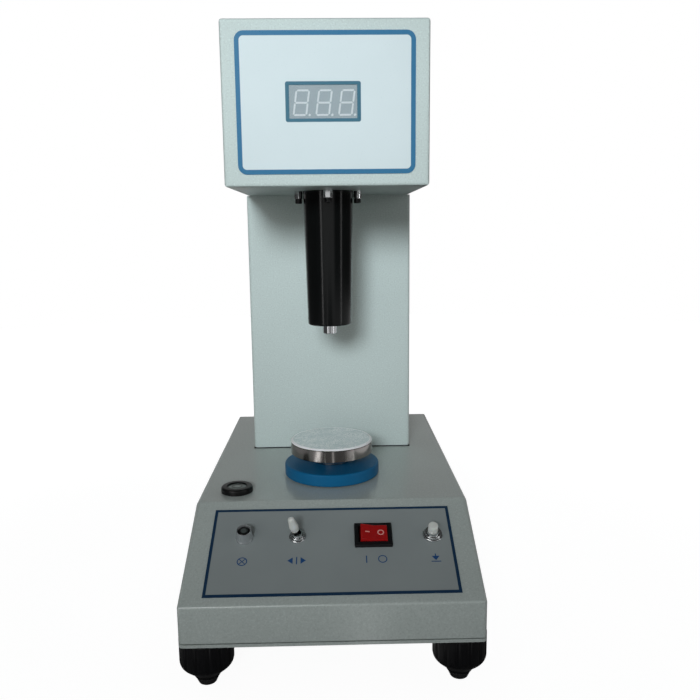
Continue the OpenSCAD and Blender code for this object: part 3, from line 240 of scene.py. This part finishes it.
# Four levelling feet. A rubber pad turns on the tip of an 8 mm zinc-plated screw, and a grooved
# black plastic knob moulded on the screw runs it up and down in a nut on the bottom plate.
def moulded(name, code, rough, grain=0.4 * MM, depth=0.01 * MM, drift=0.06, **sockets):
    """Plastic, rubber or plain metal: the colour drifts, the gloss varies and the skin has a grain."""
    cloud_size = 15 * MM
    finish, place = new_finish(name)
    cloud = place.noise(cloud_size, 3.0)
    skin = place.noise(grain, 2.0)
    lay(place, {"Base Color": cloud.mix(tint(code, 1 - drift), tint(code, 1 + drift)),
                "Roughness": rough * (0.75 + 0.5 * skin),
                "Normal": skin.bump(depth)})
    lay(place, {key.replace("_", " "): value for key, value in sockets.items()})
    return finish


def threaded(radius, depth, lead, low, high, x, y):
    """A right-hand screw: one tooth spun up the axis and cut square at both ends."""
    around = 28
    touching = 0.01 * MM
    core = radius - depth
    turns = math.ceil((high - low) / lead) + 2
    shape = bmesh.new()
    tooth = [(0.0, core), (0.15, core), (0.45, radius), (0.70, radius), (1.0, core)]
    points = [shape.verts.new((x + r, y, low + (share - 1) * lead)) for share, r in tooth]
    edges = [shape.edges.new(pair) for pair in zip(points, points[1:])]
    bmesh.ops.spin(shape, geom=points + edges, cent=(x, y, 0), axis=(0, 0, 1), dvec=(0, 0, lead / around),
                   angle=turns * math.tau, steps=turns * around)
    bmesh.ops.remove_doubles(shape, verts=shape.verts, dist=touching)
    for z, side in ((low, -1), (high, 1)):
        whole = shape.verts[:] + shape.edges[:] + shape.faces[:]
        cut = bmesh.ops.bisect_plane(shape, geom=whole, plane_co=(x, y, z), plane_no=(0, 0, side),
                                     clear_outer=True)
        rim = [e for e in cut["geom_cut"] if isinstance(e, bmesh.types.BMEdge)]
        bmesh.ops.edgeloop_fill(shape, edges=rim)
    bmesh.ops.recalc_face_normals(shape, faces=shape.faces)
    return shape


rubber = moulded("foot_rubber", "111113", rough=0.75, grain=0.6 * MM, depth=0.03 * MM)
knob_black = moulded("knob_black", "0A0A0C", rough=0.45, grain=0.5 * MM, depth=0.015 * MM,
                     Specular_IOR_Level=0.2)
zinc = moulded("zinc_plate", "C3C6C2", rough=0.30, grain=0.8 * MM, depth=0.008 * MM, drift=0.08,
               Metallic=1.0)
thread_r, thread_depth, thread_lead = 4.0 * MM, 0.65 * MM, 1.25 * MM
tip_end_r, tip_r = 2.2 * MM, 2.5 * MM
for corner in ("front_left", "front_right", "rear_left", "rear_right"):
    dress("foot_pad_" + corner, rubber)
    dress("foot_knob_" + corner, knob_black)
    low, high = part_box("foot_screw_" + corner)
    middle = (low + high) / 2
    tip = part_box("foot_knob_" + corner)[0].z
    screw = threaded(thread_r, thread_depth, thread_lead, tip, high.z, middle.x, middle.y)
    tip_at = Matrix.Translation((middle.x, middle.y, (tip + low.z) / 2))
    bmesh.ops.create_cone(screw, cap_ends=True, segments=28, radius1=tip_end_r, radius2=tip_r,
                          depth=tip - low.z, matrix=tip_at)
    show("foot_thread_" + corner, screw, zinc, "foot_knob_" + corner, "zinc", "foot_screw_" + corner)
dress("foot_nuts", zinc)


# Round bubble level, let into the top at the left. A black ring holds a domed glass vial of clear
# spirit over a dark floor, with a painted circle that the bubble has to sit in.
def close(shape, touching):
    """Joins the points of a shape that touch and turns its faces outwards."""
    bmesh.ops.remove_doubles(shape, verts=shape.verts, dist=touching)
    bmesh.ops.recalc_face_normals(shape, faces=shape.faces)


def turned(points, centre):
    """A closed shape of revolution round an upright axis, from points of radius and height."""
    shape = bmesh.new()
    ring = [shape.verts.new((centre.x + r, centre.y, z)) for r, z in points]
    edges = [shape.edges.new(pair) for pair in zip(ring, ring[1:])]
    bmesh.ops.spin(shape, geom=ring + edges, cent=(centre.x, centre.y, 0), axis=(0, 0, 1),
                   angle=math.tau, steps=64, use_merge=True)
    close(shape, 0.003 * MM)
    return shape


ring_black = moulded("level_ring_black", "0A0B0B", rough=0.32, grain=0.8 * MM, Specular_IOR_Level=0.3)
dress("level_body", ring_black)
low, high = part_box("level_vial")
vial_axis = (low + high) / 2
vial_r = (high.x - low.x) / 2
vial_top = high.z
spirit = moulded("level_spirit", "747D78", rough=0.14, grain=1.5 * MM, depth=0.002 * MM, drift=0.15,
                 Specular_IOR_Level=0.35)
dome = [(0, low.z), (vial_r, low.z), (vial_r, vial_top - 0.6 * MM),
        (0.86 * vial_r, vial_top - 0.25 * MM), (0.5 * vial_r, vial_top - 0.1 * MM),
        (0, vial_top - 0.06 * MM)]
show("level_vial_dome", turned(dome, vial_axis), spirit, "frame", "level_glass", "level_vial")

circle_in, circle_out, circle_foot = 2.7 * MM, 3.2 * MM, vial_top - 0.12 * MM
circle = [(circle_in, circle_foot), (circle_out, circle_foot), (circle_out, vial_top),
          (circle_in, vial_top), (circle_in, circle_foot)]
circle_paint = moulded("level_circle_paint", "15191A", rough=0.4)
show("level_circle", turned(circle, vial_axis), circle_paint, "frame", "level_glass")

bubble_axis = vial_axis + Vector((0.4 * MM, 0.2 * MM, 0))
bubble = [(0, vial_top - 0.3 * MM), (1.9 * MM, vial_top - 0.3 * MM), (2.1 * MM, vial_top - 0.15 * MM),
          (1.7 * MM, vial_top - 0.03 * MM), (0, vial_top)]
bubble_air = moulded("level_bubble_air", "86918B", rough=0.10)
show("level_bubble", turned(bubble, bubble_axis), bubble_air, "frame", "level_glass")


# Panel film on the slope: matt grey polyester printed with a square navy border line. Under each
# control a small navy sign is printed: lamp, left and right, on and off, and a probe that goes down.
cover_low, cover_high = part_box("base_cover")
film_low, film_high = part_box("panel_film")
front_h, slope_run = 52 * MM, 66.5 * MM
slope = math.atan2(cover_high.z - front_h, slope_run)
panel_up = Vector((0, math.cos(slope), math.sin(slope)))
panel_out = Vector((0, -math.sin(slope), math.cos(slope)))
panel_foot = Vector((0, cover_low.y, front_h))
film_gap, film_l, film_t = 5.5 * MM, 61.3 * MM, 0.4 * MM
film_w = film_high.x - film_low.x
lamp_x, toggle_x, switch_x, button_x = -50.5 * MM, -20 * MM, 23.7 * MM, 58.1 * MM
control_up, sign_up = 45 * MM, 28.5 * MM


def on_panel(x, up, out=0.0):
    """Place on the panel: x across, y up the slope, z outwards."""
    turn = Matrix((Vector((1, 0, 0)), panel_up, panel_out)).transposed().to_4x4()
    spot = panel_foot + up * panel_up + out * panel_out
    return Matrix.Translation((x, spot.y, spot.z)) @ turn


film_grey, place = new_finish("panel_film_grey")
line_full, line_end = 1.65 * MM, 1.8 * MM
across = abs(place.along((1, 0, 0)))
upward = abs(place.along(panel_up) - (panel_foot.dot(panel_up) + film_gap + film_l / 2))
border = (film_w / 2 - across).least(film_l / 2 - upward)
line = 1 - border.step(line_full, line_end)
cloud = place.noise(30 * MM, 3.0)
weave = place.noise(0.35 * MM, 1.0)
lay(place, {"Base Color": line.mix(cloud.mix(tint("8B9292"), tint("969D9C")), tint("022C4A")),
            "Roughness": 0.42 + 0.16 * weave,
            "Normal": weave.bump(0.012 * MM)})
dress("panel_film", film_grey)


def slab(shape, at, corners, thick):
    """A thin plate on a plane, from its corners in millimetres."""
    verts = [shape.verts.new(at @ Vector((x * MM, y * MM, 0))) for x, y in corners]
    face = shape.faces.new(verts)
    lifted = bmesh.ops.extrude_face_region(shape, geom=[face])
    tops = [v for v in lifted["geom"] if isinstance(v, bmesh.types.BMVert)]
    bmesh.ops.translate(shape, verts=tops, vec=at.to_3x3() @ Vector((0, 0, thick)))


def bar(shape, at, x, y, w, h, thick):
    """A thin oblong plate, from its middle and its size in millimetres."""
    left, right, foot, top = x - w / 2, x + w / 2, y - h / 2, y + h / 2
    slab(shape, at, [(left, foot), (right, foot), (right, top), (left, top)], thick)


def hoop(shape, at, outer, inner, thick):
    """A thin flat ring, from its radii in millimetres, spun from one oblong section."""
    section = [(inner, 0), (outer, 0), (outer, thick / MM), (inner, thick / MM)]
    verts = [shape.verts.new(at @ Vector((r * MM, 0, z * MM))) for r, z in section]
    edges = [shape.edges.new((verts[i], verts[(i + 1) % 4])) for i in range(4)]
    bmesh.ops.spin(shape, geom=verts + edges, cent=at.translation, axis=at.to_3x3() @ Vector((0, 0, 1)),
                   angle=math.tau, steps=32, use_merge=True)


ink = 0.04 * MM
stroke_w, stroke_h = 0.6, 5.0
signs = bmesh.new()
lamp_sign = on_panel(lamp_x, sign_up, film_t)
hoop(signs, lamp_sign, outer=2.9, inner=2.35, thick=ink)
for tilt in (45, 135):
    tilted = lamp_sign @ Matrix.Rotation(math.radians(tilt), 4, "Z")
    bar(signs, tilted, x=0, y=0, w=4.8, h=0.5, thick=ink)

toggle_sign = on_panel(toggle_x, sign_up, film_t)
arrow_tip, arrow_back, arrow_half = 5.2, 2.2, 2.2
for side in (-1, 1):
    slab(signs, toggle_sign, [(side * arrow_tip, 0), (side * arrow_back, arrow_half * side),
                              (side * arrow_back, -arrow_half * side)], ink)
bar(signs, toggle_sign, x=0, y=0, w=stroke_w, h=stroke_h, thick=ink)

switch_sign = on_panel(switch_x, sign_up, film_t)
aside = 4.5
bar(signs, switch_sign, x=-aside, y=0, w=stroke_w, h=stroke_h, thick=ink)
hoop(signs, switch_sign @ Matrix.Translation((aside * MM, 0, 0)), outer=2.6, inner=2.05, thick=ink)

button_sign = on_panel(button_x, sign_up, film_t)
probe_half, probe_point, probe_top = 2.2, -1.6, 1.4
slab(signs, button_sign, [(0, probe_point), (probe_half, probe_top), (-probe_half, probe_top)], ink)
bar(signs, button_sign, x=0, y=2.2, w=stroke_w, h=1.6, thick=ink)
bar(signs, button_sign, x=0, y=-2.3, w=5.4, h=0.55, thick=ink)
close(signs, 0.002 * MM)
show("panel_signs", signs, moulded("navy_ink", "16457A", rough=0.4), "frame", "panel_film")


# Signal lamp: a satin nickel bezel screwed through the panel, with a dark lens set deep in it, painted
# lighter in the middle as light on it and darker at its edge as shade in the well. The dress nuts and
# bushes of the switches beside it are bright nickel.
nickel = moulded("bright_nickel", "DADCDD", rough=0.11, grain=0.7 * MM, depth=0.003 * MM, drift=0.05,
                 Metallic=1.0)
satin = moulded("satin_nickel", "C3C7C8", rough=0.20, grain=0.7 * MM, depth=0.003 * MM, drift=0.05,
                Metallic=0.72)
dress("lamp_bezel", satin, ease=0.12 * MM)
lamp_lens, place = new_finish("lamp_lens")
lamp_axis = on_panel(lamp_x, control_up).translation
painted_light_r, painted_shade_r = 1.2 * MM, 2.3 * MM
sideways = place.along((1, 0, 0)) - lamp_axis.x
off_axis = sideways.beside(place.along(panel_up) - lamp_axis.dot(panel_up))
# Painted light in the lens's middle, and painted shade towards its edge in the deep well.
lay(place, {"Base Color": off_axis.step(painted_light_r, painted_shade_r).mix(tint("474D4C"), tint("060808")),
            "Roughness": 0.10 + 0.06 * place.noise(1.0 * MM)})
dress("lamp_light", lamp_lens)
dress("panel_nuts", nickel, ease=0.25 * MM)


# Toggle switch: a lever that leans left or right in a threaded bush, with a white plastic cap pushed
# over it; below the cap the lever is painted near black as shade in the gap. The body with its solder
# tags sits behind the panel.
white_cap = moulded("white_cap", "DDDDD7", rough=0.30, grain=0.5 * MM, depth=0.01 * MM, drift=0.03,
                    Subsurface_Weight=0.05)
dress("toggle_body", nickel, ease=0.1 * MM)
# The lever is painted near black: painted shade for the dark gap under the cap.
dress("toggle_lever", moulded("lever_painted_shade", "17181A", rough=0.30, Metallic=0.5))
dress("toggle_cap", white_cap)


# Mains switch: a snap-in black frame with a clear red rocker, marked with a stroke and a ring.
# It stands off, with its right half pressed in.
switch_black = moulded("switch_black", "0A0A0C", rough=0.42, grain=0.35 * MM, depth=0.012 * MM,
                       Specular_IOR_Level=0.3)
dress("rocker_housing", switch_black)
rocker_red = moulded("rocker_red", "A81213", rough=0.20, grain=0.9 * MM, depth=0.004 * MM, drift=0.08,
                     Subsurface_Weight=0.1)
dress("rocker", rocker_red, ease=0.25 * MM)
rocker_tilt = math.radians(6.5)
rocker_down = 0.6 * MM
rocker_half, crease_h = 15.4 / 2, 3.6
rocker_at = on_panel(switch_x, control_up, film_t - rocker_down) @ Matrix.Rotation(rocker_tilt, 4, "Y")
mark_x = rocker_half / 2 * MM
mark_h = (crease_h + rocker_half / 2 * math.tan(rocker_tilt)) * MM
left_face, right_face = [rocker_at @ Matrix.Translation((side * mark_x, 0, mark_h))
                         @ Matrix.Rotation(-side * rocker_tilt, 4, "Y") for side in (-1, 1)]
marks = bmesh.new()
bar(marks, left_face, x=0, y=0, w=2.6, h=0.8, thick=ink)
hoop(marks, right_face, outer=1.95, inner=1.3, thick=ink)
close(marks, 0.002 * MM)
show("rocker_marks", marks, moulded("mark_pale", "E39A92", rough=0.4), "rocker", "switch_red")


# Push button: a round white plastic cap that slides in a nickel bush and is held out by a spring.
# Its body is screwed through the panel by the dress nut.
dress("button_body", nickel, ease=0.1 * MM)
dress("button_cap", white_cap)


# Mains inlet: black moulded plastic with three flat nickel pins, set in the base's rear wall with
# its rim on the sheet. A drawer for the fuse slides out below the pins.
dress("power_inlet", switch_black, ease=0.25 * MM)
dress("inlet_pins", nickel, ease=0.3 * MM)
drawer_black = moulded("drawer_black", "1B1B1E", rough=0.45, grain=0.5 * MM, depth=0.02 * MM)
dress("fuse_drawer", drawer_black, ease=0.15 * MM)


# What sits inside: a mains transformer of stacked iron with a copper winding, green circuit boards
# on brass standoffs, the holding magnet with its armature, the rod's bushes and depth scale, and the
# lifting gear of brass and steel, bolted or pressed into the base, column and head.
core_iron = moulded("core_iron", "6C6E71", rough=0.5, grain=0.7 * MM, depth=0.03 * MM, drift=0.12,
                    Metallic=0.8)
copper = moulded("copper_winding", "A9652F", rough=0.35, grain=0.5 * MM, depth=0.03 * MM, drift=0.12,
                 Metallic=0.7)
board_green = moulded("board_green", "2A6546", rough=0.40, grain=0.9 * MM, depth=0.02 * MM, drift=0.12)
brass = moulded("turned_brass", "C4A45A", rough=0.28, grain=0.6 * MM, depth=0.01 * MM, drift=0.08,
                Metallic=1.0)
steel = moulded("plain_steel", "A5A8AB", rough=0.32, grain=0.6 * MM, depth=0.01 * MM, drift=0.08,
                Metallic=1.0)


def coat(finish, *nodes):
    """Gives pieces that stay as they are their finish."""
    for node in nodes:
        for holder in frame["nodes"][node].material_slots:
            holder.material = finish


coat(core_iron, "transformer_core", "magnet_pot", "armature")
coat(copper, "transformer_coil", "magnet_coil")
coat(board_green, "main_board", "display_board")
coat(brass, "board_standoffs", "lift_nut", "guide_bushes")
coat(steel, "lift_guide", "lift_screw", "scale_strip")
coat(zinc, "frame_bolts")
coat(moulded("washer_white", "DEDCD2", rough=0.5), "thrust_washer")
coat(moulded("sensor_grey", "33363B", rough=0.45), "sensor")


# Lifting wheel: a plain blue plastic handwheel on the base's top. Turned by its rim, it carries a
# nut that screws the platform up or down.
wheel_blue = moulded("wheel_blue", "035E8A", rough=0.50, grain=0.6 * MM, depth=0.012 * MM, drift=0.07,
                     Specular_IOR_Level=0.35)
coat(wheel_blue, "lift_wheel")


# Platform for the soil cup: a turned steel disc, chromed. The rim is polished, with a band under its
# chamfer painted dark as shadow; the chamfer and a narrow ring at the top's edge are painted white as
# a highlight, and inside that the flat top is finely blasted, with paler and darker frosting.
platform_low, platform_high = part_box("platform")
platform_mid = (platform_low + platform_high) / 2
platform_top = platform_high.z
frost_r, highlight_ring_r = 25.5 * MM, 25.8 * MM
chrome_disc, place = new_finish("platform_chrome")
height = place.along((0, 0, 1))
sideways = place.along((1, 0, 0)) - platform_mid.x
off_axis = sideways.beside(place.along((0, 1, 0)) - platform_mid.y)
upper = height.step(platform_top - 0.06 * MM, platform_top - 0.02 * MM)
frosted = upper * (1 - off_axis.step(frost_r, highlight_ring_r))
# The chamfer and the top's outer ring are painted white and matt as a highlight; the band below is
# painted dark as shadow.
painted_highlight_edge = height.step(platform_top - 0.95 * MM, platform_top - 0.88 * MM)
shade = height.band(platform_top - 1.4 * MM, platform_top - 0.9 * MM, 0.1 * MM)
grit = place.noise(1.0 * MM, 3.0)
bloom = place.noise(9 * MM, 4.0)
speck = grit.step(0.38, 0.58) * (0.4 + 0.6 * bloom.step(0.36, 0.56))
frost = speck.mix(tint("CFD9DB"), tint("FFFFFF"))
rim = shade.mix(tint("AFABA8"), tint("3B3735"))
lay(place, {"Base Color": frosted.mix(painted_highlight_edge.mix(rim, tint("FFFFFF")), frost),
            "Metallic": 1 - painted_highlight_edge + 0.5 * frosted,
            "Roughness": 0.13 + painted_highlight_edge * 0.17 + frosted * 0.15 * grit,
            "Coat Weight": frosted,
            "Coat Roughness": 0.25,
            "Normal": (frosted * grit).bump(0.05 * MM)})
coat(chrome_disc, "platform")


# Column and head: two folded boxes of sheet in a slightly greener coat, written paler than the base's,
# bolted together and closed by a rear cover with two rows of vents. Pan head screws with a cross recess
# hold the cover, and a thin black strip under the column's foot is painted shade for the shadow line
# where it meets the base.
paint = powder_coat("grey_green_paint", "C3D0CC", rough=0.30, gloss=0.45)
dress("column_shell", paint)
dress("head_shell", paint)
foot_low, foot_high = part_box("column_shell")
foot_mid = (foot_low + foot_high) / 2
# A thin black strip round the column's foot: painted shade for the shadow line along the join.
shadow_strip_wider, shadow_strip_h, shadow_strip_ease = 0.5 * MM, 0.7 * MM, 0.15 * MM
shadow_strip_size = (foot_high.x - foot_low.x + shadow_strip_wider, foot_high.y - foot_low.y + shadow_strip_wider, shadow_strip_h, 1)
shadow_strip_at = Matrix.Translation((foot_mid.x, foot_mid.y, foot_low.z + shadow_strip_h / 2))
shadow_strip = bmesh.new()
bmesh.ops.create_cube(shadow_strip, size=1.0, matrix=shadow_strip_at @ Matrix.Diagonal(shadow_strip_size))
bmesh.ops.bevel(shadow_strip, geom=shadow_strip.edges[:], offset=shadow_strip_ease, affect="EDGES", segments=2, profile=0.5,
                material=-1)
show("column_shadow_strip", shadow_strip, rubber, "frame", "foot_rubber")
dress("rear_cover", paint)


def pan_screw(shape, at):
    """A pan head with a cross recess, its seat at the origin and its crown towards z."""
    head_r, head_h, wing, arm, sink = 2.8, 1.8, 1.5, 0.36, 1.0
    cross = [(arm, arm), (arm, wing), (-arm, wing), (-arm, arm), (-wing, arm), (-wing, -arm),
             (-arm, -arm), (-arm, -wing), (arm, -wing), (arm, -arm), (wing, -arm), (wing, arm)]
    crown = [(0.68 * head_r, head_h), (0.9 * head_r, 0.78 * head_h), (head_r, 0.35 * head_h),
             (head_r, 0.0)]
    mouth = [shape.verts.new(at @ Vector((x * MM, y * MM, head_h * MM))) for x, y in cross]
    mouth_edges = [shape.edges.new((mouth[i], mouth[(i + 1) % 12])) for i in range(12)]
    last = mouth_edges
    for r, z in crown:
        loop = bmesh.ops.create_circle(shape, segments=24, radius=r * MM,
                                       matrix=at @ Matrix.Translation((0, 0, z * MM)))["verts"]
        edges = list(dict.fromkeys(e for v in loop for e in v.link_edges if e.other_vert(v) in loop))
        bmesh.ops.bridge_loops(shape, edges=last + edges)
        last = edges
    sunk = bmesh.ops.extrude_edge_only(shape, edges=mouth_edges)["geom"]
    floor_verts = [v for v in sunk if isinstance(v, bmesh.types.BMVert)]
    bmesh.ops.translate(shape, verts=floor_verts, vec=at.to_3x3() @ Vector((0, 0, -sink * MM)))
    bmesh.ops.edgeloop_fill(shape, edges=[e for e in sunk if isinstance(e, bmesh.types.BMEdge)])
    bmesh.ops.edgeloop_fill(shape, edges=last)


cover_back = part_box("rear_cover")[1].y
cover_screw_x, cover_screw_z = (-51.5, 51.5), (98.5, 177.9, 285.3, 348.3)
plate_screw_x, plate_screw_y, plate_foot = (-75.3, 75.3), (-75.25, 72.75), 28.5
rearwards = Matrix.Rotation(math.radians(-90), 4, "X")
downwards = Matrix.Rotation(math.pi, 4, "X")
screws = bmesh.new()
for x in cover_screw_x:
    for z in cover_screw_z:
        seat = Matrix.Translation((x * MM, cover_back, z * MM))
        driven = Matrix.Rotation(math.radians(7 * z + x), 4, "Z")
        pan_screw(screws, seat @ rearwards @ driven)
for x in plate_screw_x:
    for y in plate_screw_y:
        pan_screw(screws, Matrix.Translation((x * MM, y * MM, plate_foot * MM)) @ downwards)
bmesh.ops.recalc_face_normals(screws, faces=screws.faces)
show("case_screw_heads", screws, zinc, "frame", "zinc", "case_screws")


# Film on the head: glossy polyester, nearly white with a breath of blue. A blue line with round
# corners runs round it, and another frames the display's window.
head_low, head_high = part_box("head_film")
head_mid = (head_low + head_high) / 2
window_low, window_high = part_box("display_block")
window_mid = (window_low + window_high) / 2


def oblong(place, middle, half_x, half_z, radius):
    """Signed distance from an oblong with round corners on the head's front."""
    x = abs(place.along((1, 0, 0)) - middle.x) - (half_x - radius)
    z = abs(place.along((0, 0, 1)) - middle.z) - (half_z - radius)
    return x.most(0.0).beside(z.most(0.0)) + x.most(z).least(0.0) - radius


head_print, place = new_finish("head_film_print")
film_corner, line_in, blur = 5 * MM, 2.65 * MM, 0.12 * MM
half_x, half_z = (head_high.x - head_low.x) / 2, (head_high.z - head_low.z) / 2
edge = oblong(place, head_mid, half_x, half_z, film_corner)
frame_edge = oblong(place, window_mid, half_x=21.1 * MM, half_z=10.9 * MM, radius=1.2 * MM)
outline = edge.step(-line_in - blur, -line_in + blur)
window_line = 1 - frame_edge.step(-blur, blur)
cloud = place.noise(45 * MM, 3.0)
skin = place.noise(0.6 * MM, 1.0)
paper = cloud.mix(tint("CCD9DA"), tint("D6E2E3"))
lay(place, {"Base Color": window_line.mix(outline.mix(paper, tint("2E6E93")), tint("3A6B7E")),
            "Roughness": 0.24 + 0.12 * skin,
            "Normal": skin.bump(0.006 * MM)})
dress("head_film", head_print)


# Display: a three-digit module with slanted seven-segment figures, unlit, so the pale light pipes
# show on its grey face. A thin clear window set in the film covers it.
display_face = moulded("display_face", "ACBABE", rough=0.45, grain=0.5 * MM, depth=0.006 * MM, drift=0.05)
dress("display_block", display_face)
digit_w, digit_h, digit_pitch, digit_slant = 8.1, 14.2, 12.7, math.radians(8)
segment_t, segment_gap = 1.0, 0.18
dot_r, dot_out, dot_sides = 0.65, 1.9, 16
raised, shifted = 0.10 * MM, 0.5 * MM
half_w = (digit_w - segment_t) / 2
half_h = (digit_h - segment_t) / 2
notch = segment_t / 2
face_at = (Matrix.Translation((window_mid.x + shifted, window_low.y, window_mid.z - shifted))
           @ Matrix.Rotation(math.radians(90), 4, "X"))
lean = Matrix.Identity(4)
lean[0][1] = math.tan(digit_slant)
round_dot = [(dot_r * math.cos(math.tau * i / dot_sides), dot_r * math.sin(math.tau * i / dot_sides))
             for i in range(dot_sides)]
digits = bmesh.new()
for column in (-1, 0, 1):
    at = face_at @ Matrix.Translation((column * digit_pitch * MM, 0, 0)) @ lean
    reach = half_w - segment_gap
    for level in (-1, 0, 1):
        y = level * half_h
        slab(digits, at, [(-reach, y), (notch - reach, y - notch), (reach - notch, y - notch),
                          (reach, y), (reach - notch, y + notch), (notch - reach, y + notch)], raised)
    for side in (-1, 1):
        x = side * half_w
        for level in (-1, 1):
            foot, top = sorted((level * segment_gap, level * (half_h - segment_gap)))
            slab(digits, at, [(x, foot), (x + notch, foot + notch), (x + notch, top - notch),
                              (x, top), (x - notch, top - notch), (x - notch, foot + notch)], raised)
    dot_at = at @ Matrix.Translation(((half_w + dot_out) * MM, -half_h * MM, 0))
    slab(digits, dot_at, round_dot, raised)
bmesh.ops.recalc_face_normals(digits, faces=digits.faces)
light_pipe = moulded("light_pipe", "EAF2F4", rough=0.30, grain=0.4 * MM, depth=0.004 * MM, drift=0.03)
show("display_digits", digits, light_pipe, "frame", "display_grey")

pane_low, pane_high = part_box("display_window")
pane_t = 0.1 * MM
pane_at = Matrix.Translation((window_mid.x, pane_low.y + pane_t / 2, window_mid.z))
pane_size = (pane_high.x - pane_low.x, pane_t, pane_high.z - pane_low.z, 1)
pane = bmesh.new()
bmesh.ops.create_cube(pane, size=1.0, matrix=pane_at @ Matrix.Diagonal(pane_size))
clear = moulded("clear_window", "9FA9AC", rough=0.06, grain=4 * MM, depth=0.002 * MM, drift=0.04,
                Alpha=0.14)
show("display_pane", pane, clear, "frame", "window", "display_window")


# Sleeve under the head: a tapered tube turned from black acetal and polished, which hides the
# magnet. Four black screws through hexagon spacers hang the magnet's flange from the head's floor.
sleeve_black = moulded("sleeve_black", "090B0B", rough=0.16, grain=0.9 * MM, depth=0.004 * MM, drift=0.1,
                       Specular_IOR_Level=0.25)
coat(sleeve_black, "sleeve")
dress("hang_spacers", nickel, ease=0.12 * MM)
screw_black = moulded("screw_black", "121214", rough=0.35, grain=0.4 * MM, depth=0.008 * MM, drift=0.1,
                      Metallic=0.4)
dress("hang_screws", screw_black)


# Measuring rod: ground steel, chromed, that slides in two bushes and hangs on the magnet by its
# armature. A socket in its lower end takes the cone's shank.
rod_chrome = moulded("rod_chrome", "C6C8CA", rough=0.08, grain=0.9 * MM, depth=0.002 * MM, drift=0.03,
                     Metallic=1.0)
coat(rod_chrome, "measuring_rod")


# Stage: a white floor that goes over into a white surround. A soft spotlight from the front left
# falls on the head and fades towards the base, and two narrow lamps draw the lines on the sleeve.
def rays(tree):
    """Whether a ray comes straight from the camera, and whether it comes off a gloss."""
    path = tree.nodes.new("ShaderNodeLightPath")
    return Shade(tree, path.outputs["Is Camera Ray"]), Shade(tree, path.outputs["Is Glossy Ray"])


white = (1.0, 1.0, 1.0, 1.0)
floor_grey = (0.2, 0.2, 0.2, 1.0)
floor_r = 1.6
floor_mesh = bmesh.new()
bmesh.ops.create_circle(floor_mesh, cap_ends=True, segments=64, radius=floor_r)
floor_data = bpy.data.meshes.new("floor")
floor_mesh.to_mesh(floor_data)
floor_mesh.free()
floor = bpy.data.objects.new("floor", floor_data)
bpy.context.scene.collection.objects.link(floor)
floor_white, place = new_finish("floor_white")
seen, mirrored = rays(place.tree)
glow = 0.94 + 0.06 * place.length().step(0.2, 0.6)
across = place.along((1, 0, 0))
sheen = (0.03 + 1.5 * across.band(-0.24, -0.18, 0.01) + 0.5 * across.band(0.01, 0.035, 0.01)
         + 0.5 * across.step(0.2, 0.32) + 0.15 * across.band(-1.0, -0.25, 0.01))
matt = place.add("BsdfDiffuse", {}, {"Color": floor_grey})
light = place.add("Emission", {}, {"Color": white, "Strength": glow * seen + sheen * mirrored})
both = place.add("AddShader", {}, {0: matt, 1: light})
place.feed(place.tree.nodes["Material Output"].inputs["Surface"], both)
floor_data.materials.append(floor_white)

world = bpy.data.worlds.new("studio")
bpy.context.scene.world = world
world.use_nodes = True
sky = Shade(world.node_tree, world.node_tree.nodes.new("ShaderNodeTexCoord").outputs["Generated"])
seen, mirrored = rays(world.node_tree)
rear = sky.along((0, 1, 0))
windows = (2.4 * sky.along((-0.47, -0.65, 0.60)).step(0.945, 0.985)
           + 1.0 * sky.along((0.66, -0.53, 0.53)).step(0.94, 0.98)
           + 1.6 * sky.along((-0.24, -0.92, 0.31)).step(0.975, 0.995))
room = 0.05 + 0.30 * rear.step(0.5, 0.95) + 0.55 * (0 - rear).step(0.84, 0.93) + windows
ambient = 0.38 - 0.33 * sky.along((0, 0, 1)).step(0.1, 0.8) + 0.45 * rear.step(0.45, 0.9)
sky_light = seen + (1 - seen) * (mirrored * room + (1 - mirrored) * ambient)
sky.feed(world.node_tree.nodes["World Output"].inputs["Surface"],
         sky.add("Background", {}, {"Color": white, "Strength": sky_light}))


def lamp(kind, name, at, towards, power, **settings):
    """A lamp of the given kind, aimed at a point."""
    data = bpy.data.lights.new(name, kind)
    data.energy = power
    for key, value in settings.items():
        setattr(data, key, value)
    holder = bpy.data.objects.new(name, data)
    turn = (Vector(towards) - Vector(at)).to_track_quat("-Z", "Y").to_matrix().to_4x4()
    holder.matrix_world = Matrix.Translation(at) @ turn
    bpy.context.scene.collection.objects.link(holder)
    return holder


head_spot = lamp("SPOT", "head_spot", at=(-0.26, -1.5, 0.75), towards=(0.0, 0.0, 0.31), power=105.0,
                 color=(0.94, 1.0, 1.05), spot_size=math.radians(24), spot_blend=1.0,
                 shadow_soft_size=0.25)
head_spot.visible_glossy = False
sleeve_mid = (0.0, -0.02, 0.23)
strips = (("left_strip", (-0.42, -0.64, 0.26), 0.40), ("right_strip", (0.62, -0.34, 0.26), 0.26))
for name, at, power in strips:
    lamp("AREA", name, at, sleeve_mid, power, shape="RECTANGLE", size=0.05, size_y=0.6)


# Camera: a plain lens on a full frame, held half a metre off, level with the rod's end, and tipped a
# little down. It stands a touch to the right and is turned and rolled about a degree.
lens = bpy.data.cameras.new("camera")
lens.sensor_width = 36.0
lens.lens = 37.47
eye = (2.86 * MM, -494.77 * MM, 248.0 * MM)
turned_by, tipped_by, rolled_by = -1.228, 9.509, -0.586
camera = bpy.data.objects.new("camera", lens)
camera.matrix_world = (Matrix.Translation(eye)
                       @ Matrix.Rotation(math.radians(turned_by), 4, "Z")
                       @ Matrix.Rotation(math.radians(90 - tipped_by), 4, "X")
                       @ Matrix.Rotation(math.radians(rolled_by), 4, "Z"))
bpy.context.scene.collection.objects.link(camera)
bpy.context.scene.camera = camera
bpy.context.scene.view_settings.view_transform = "Standard"
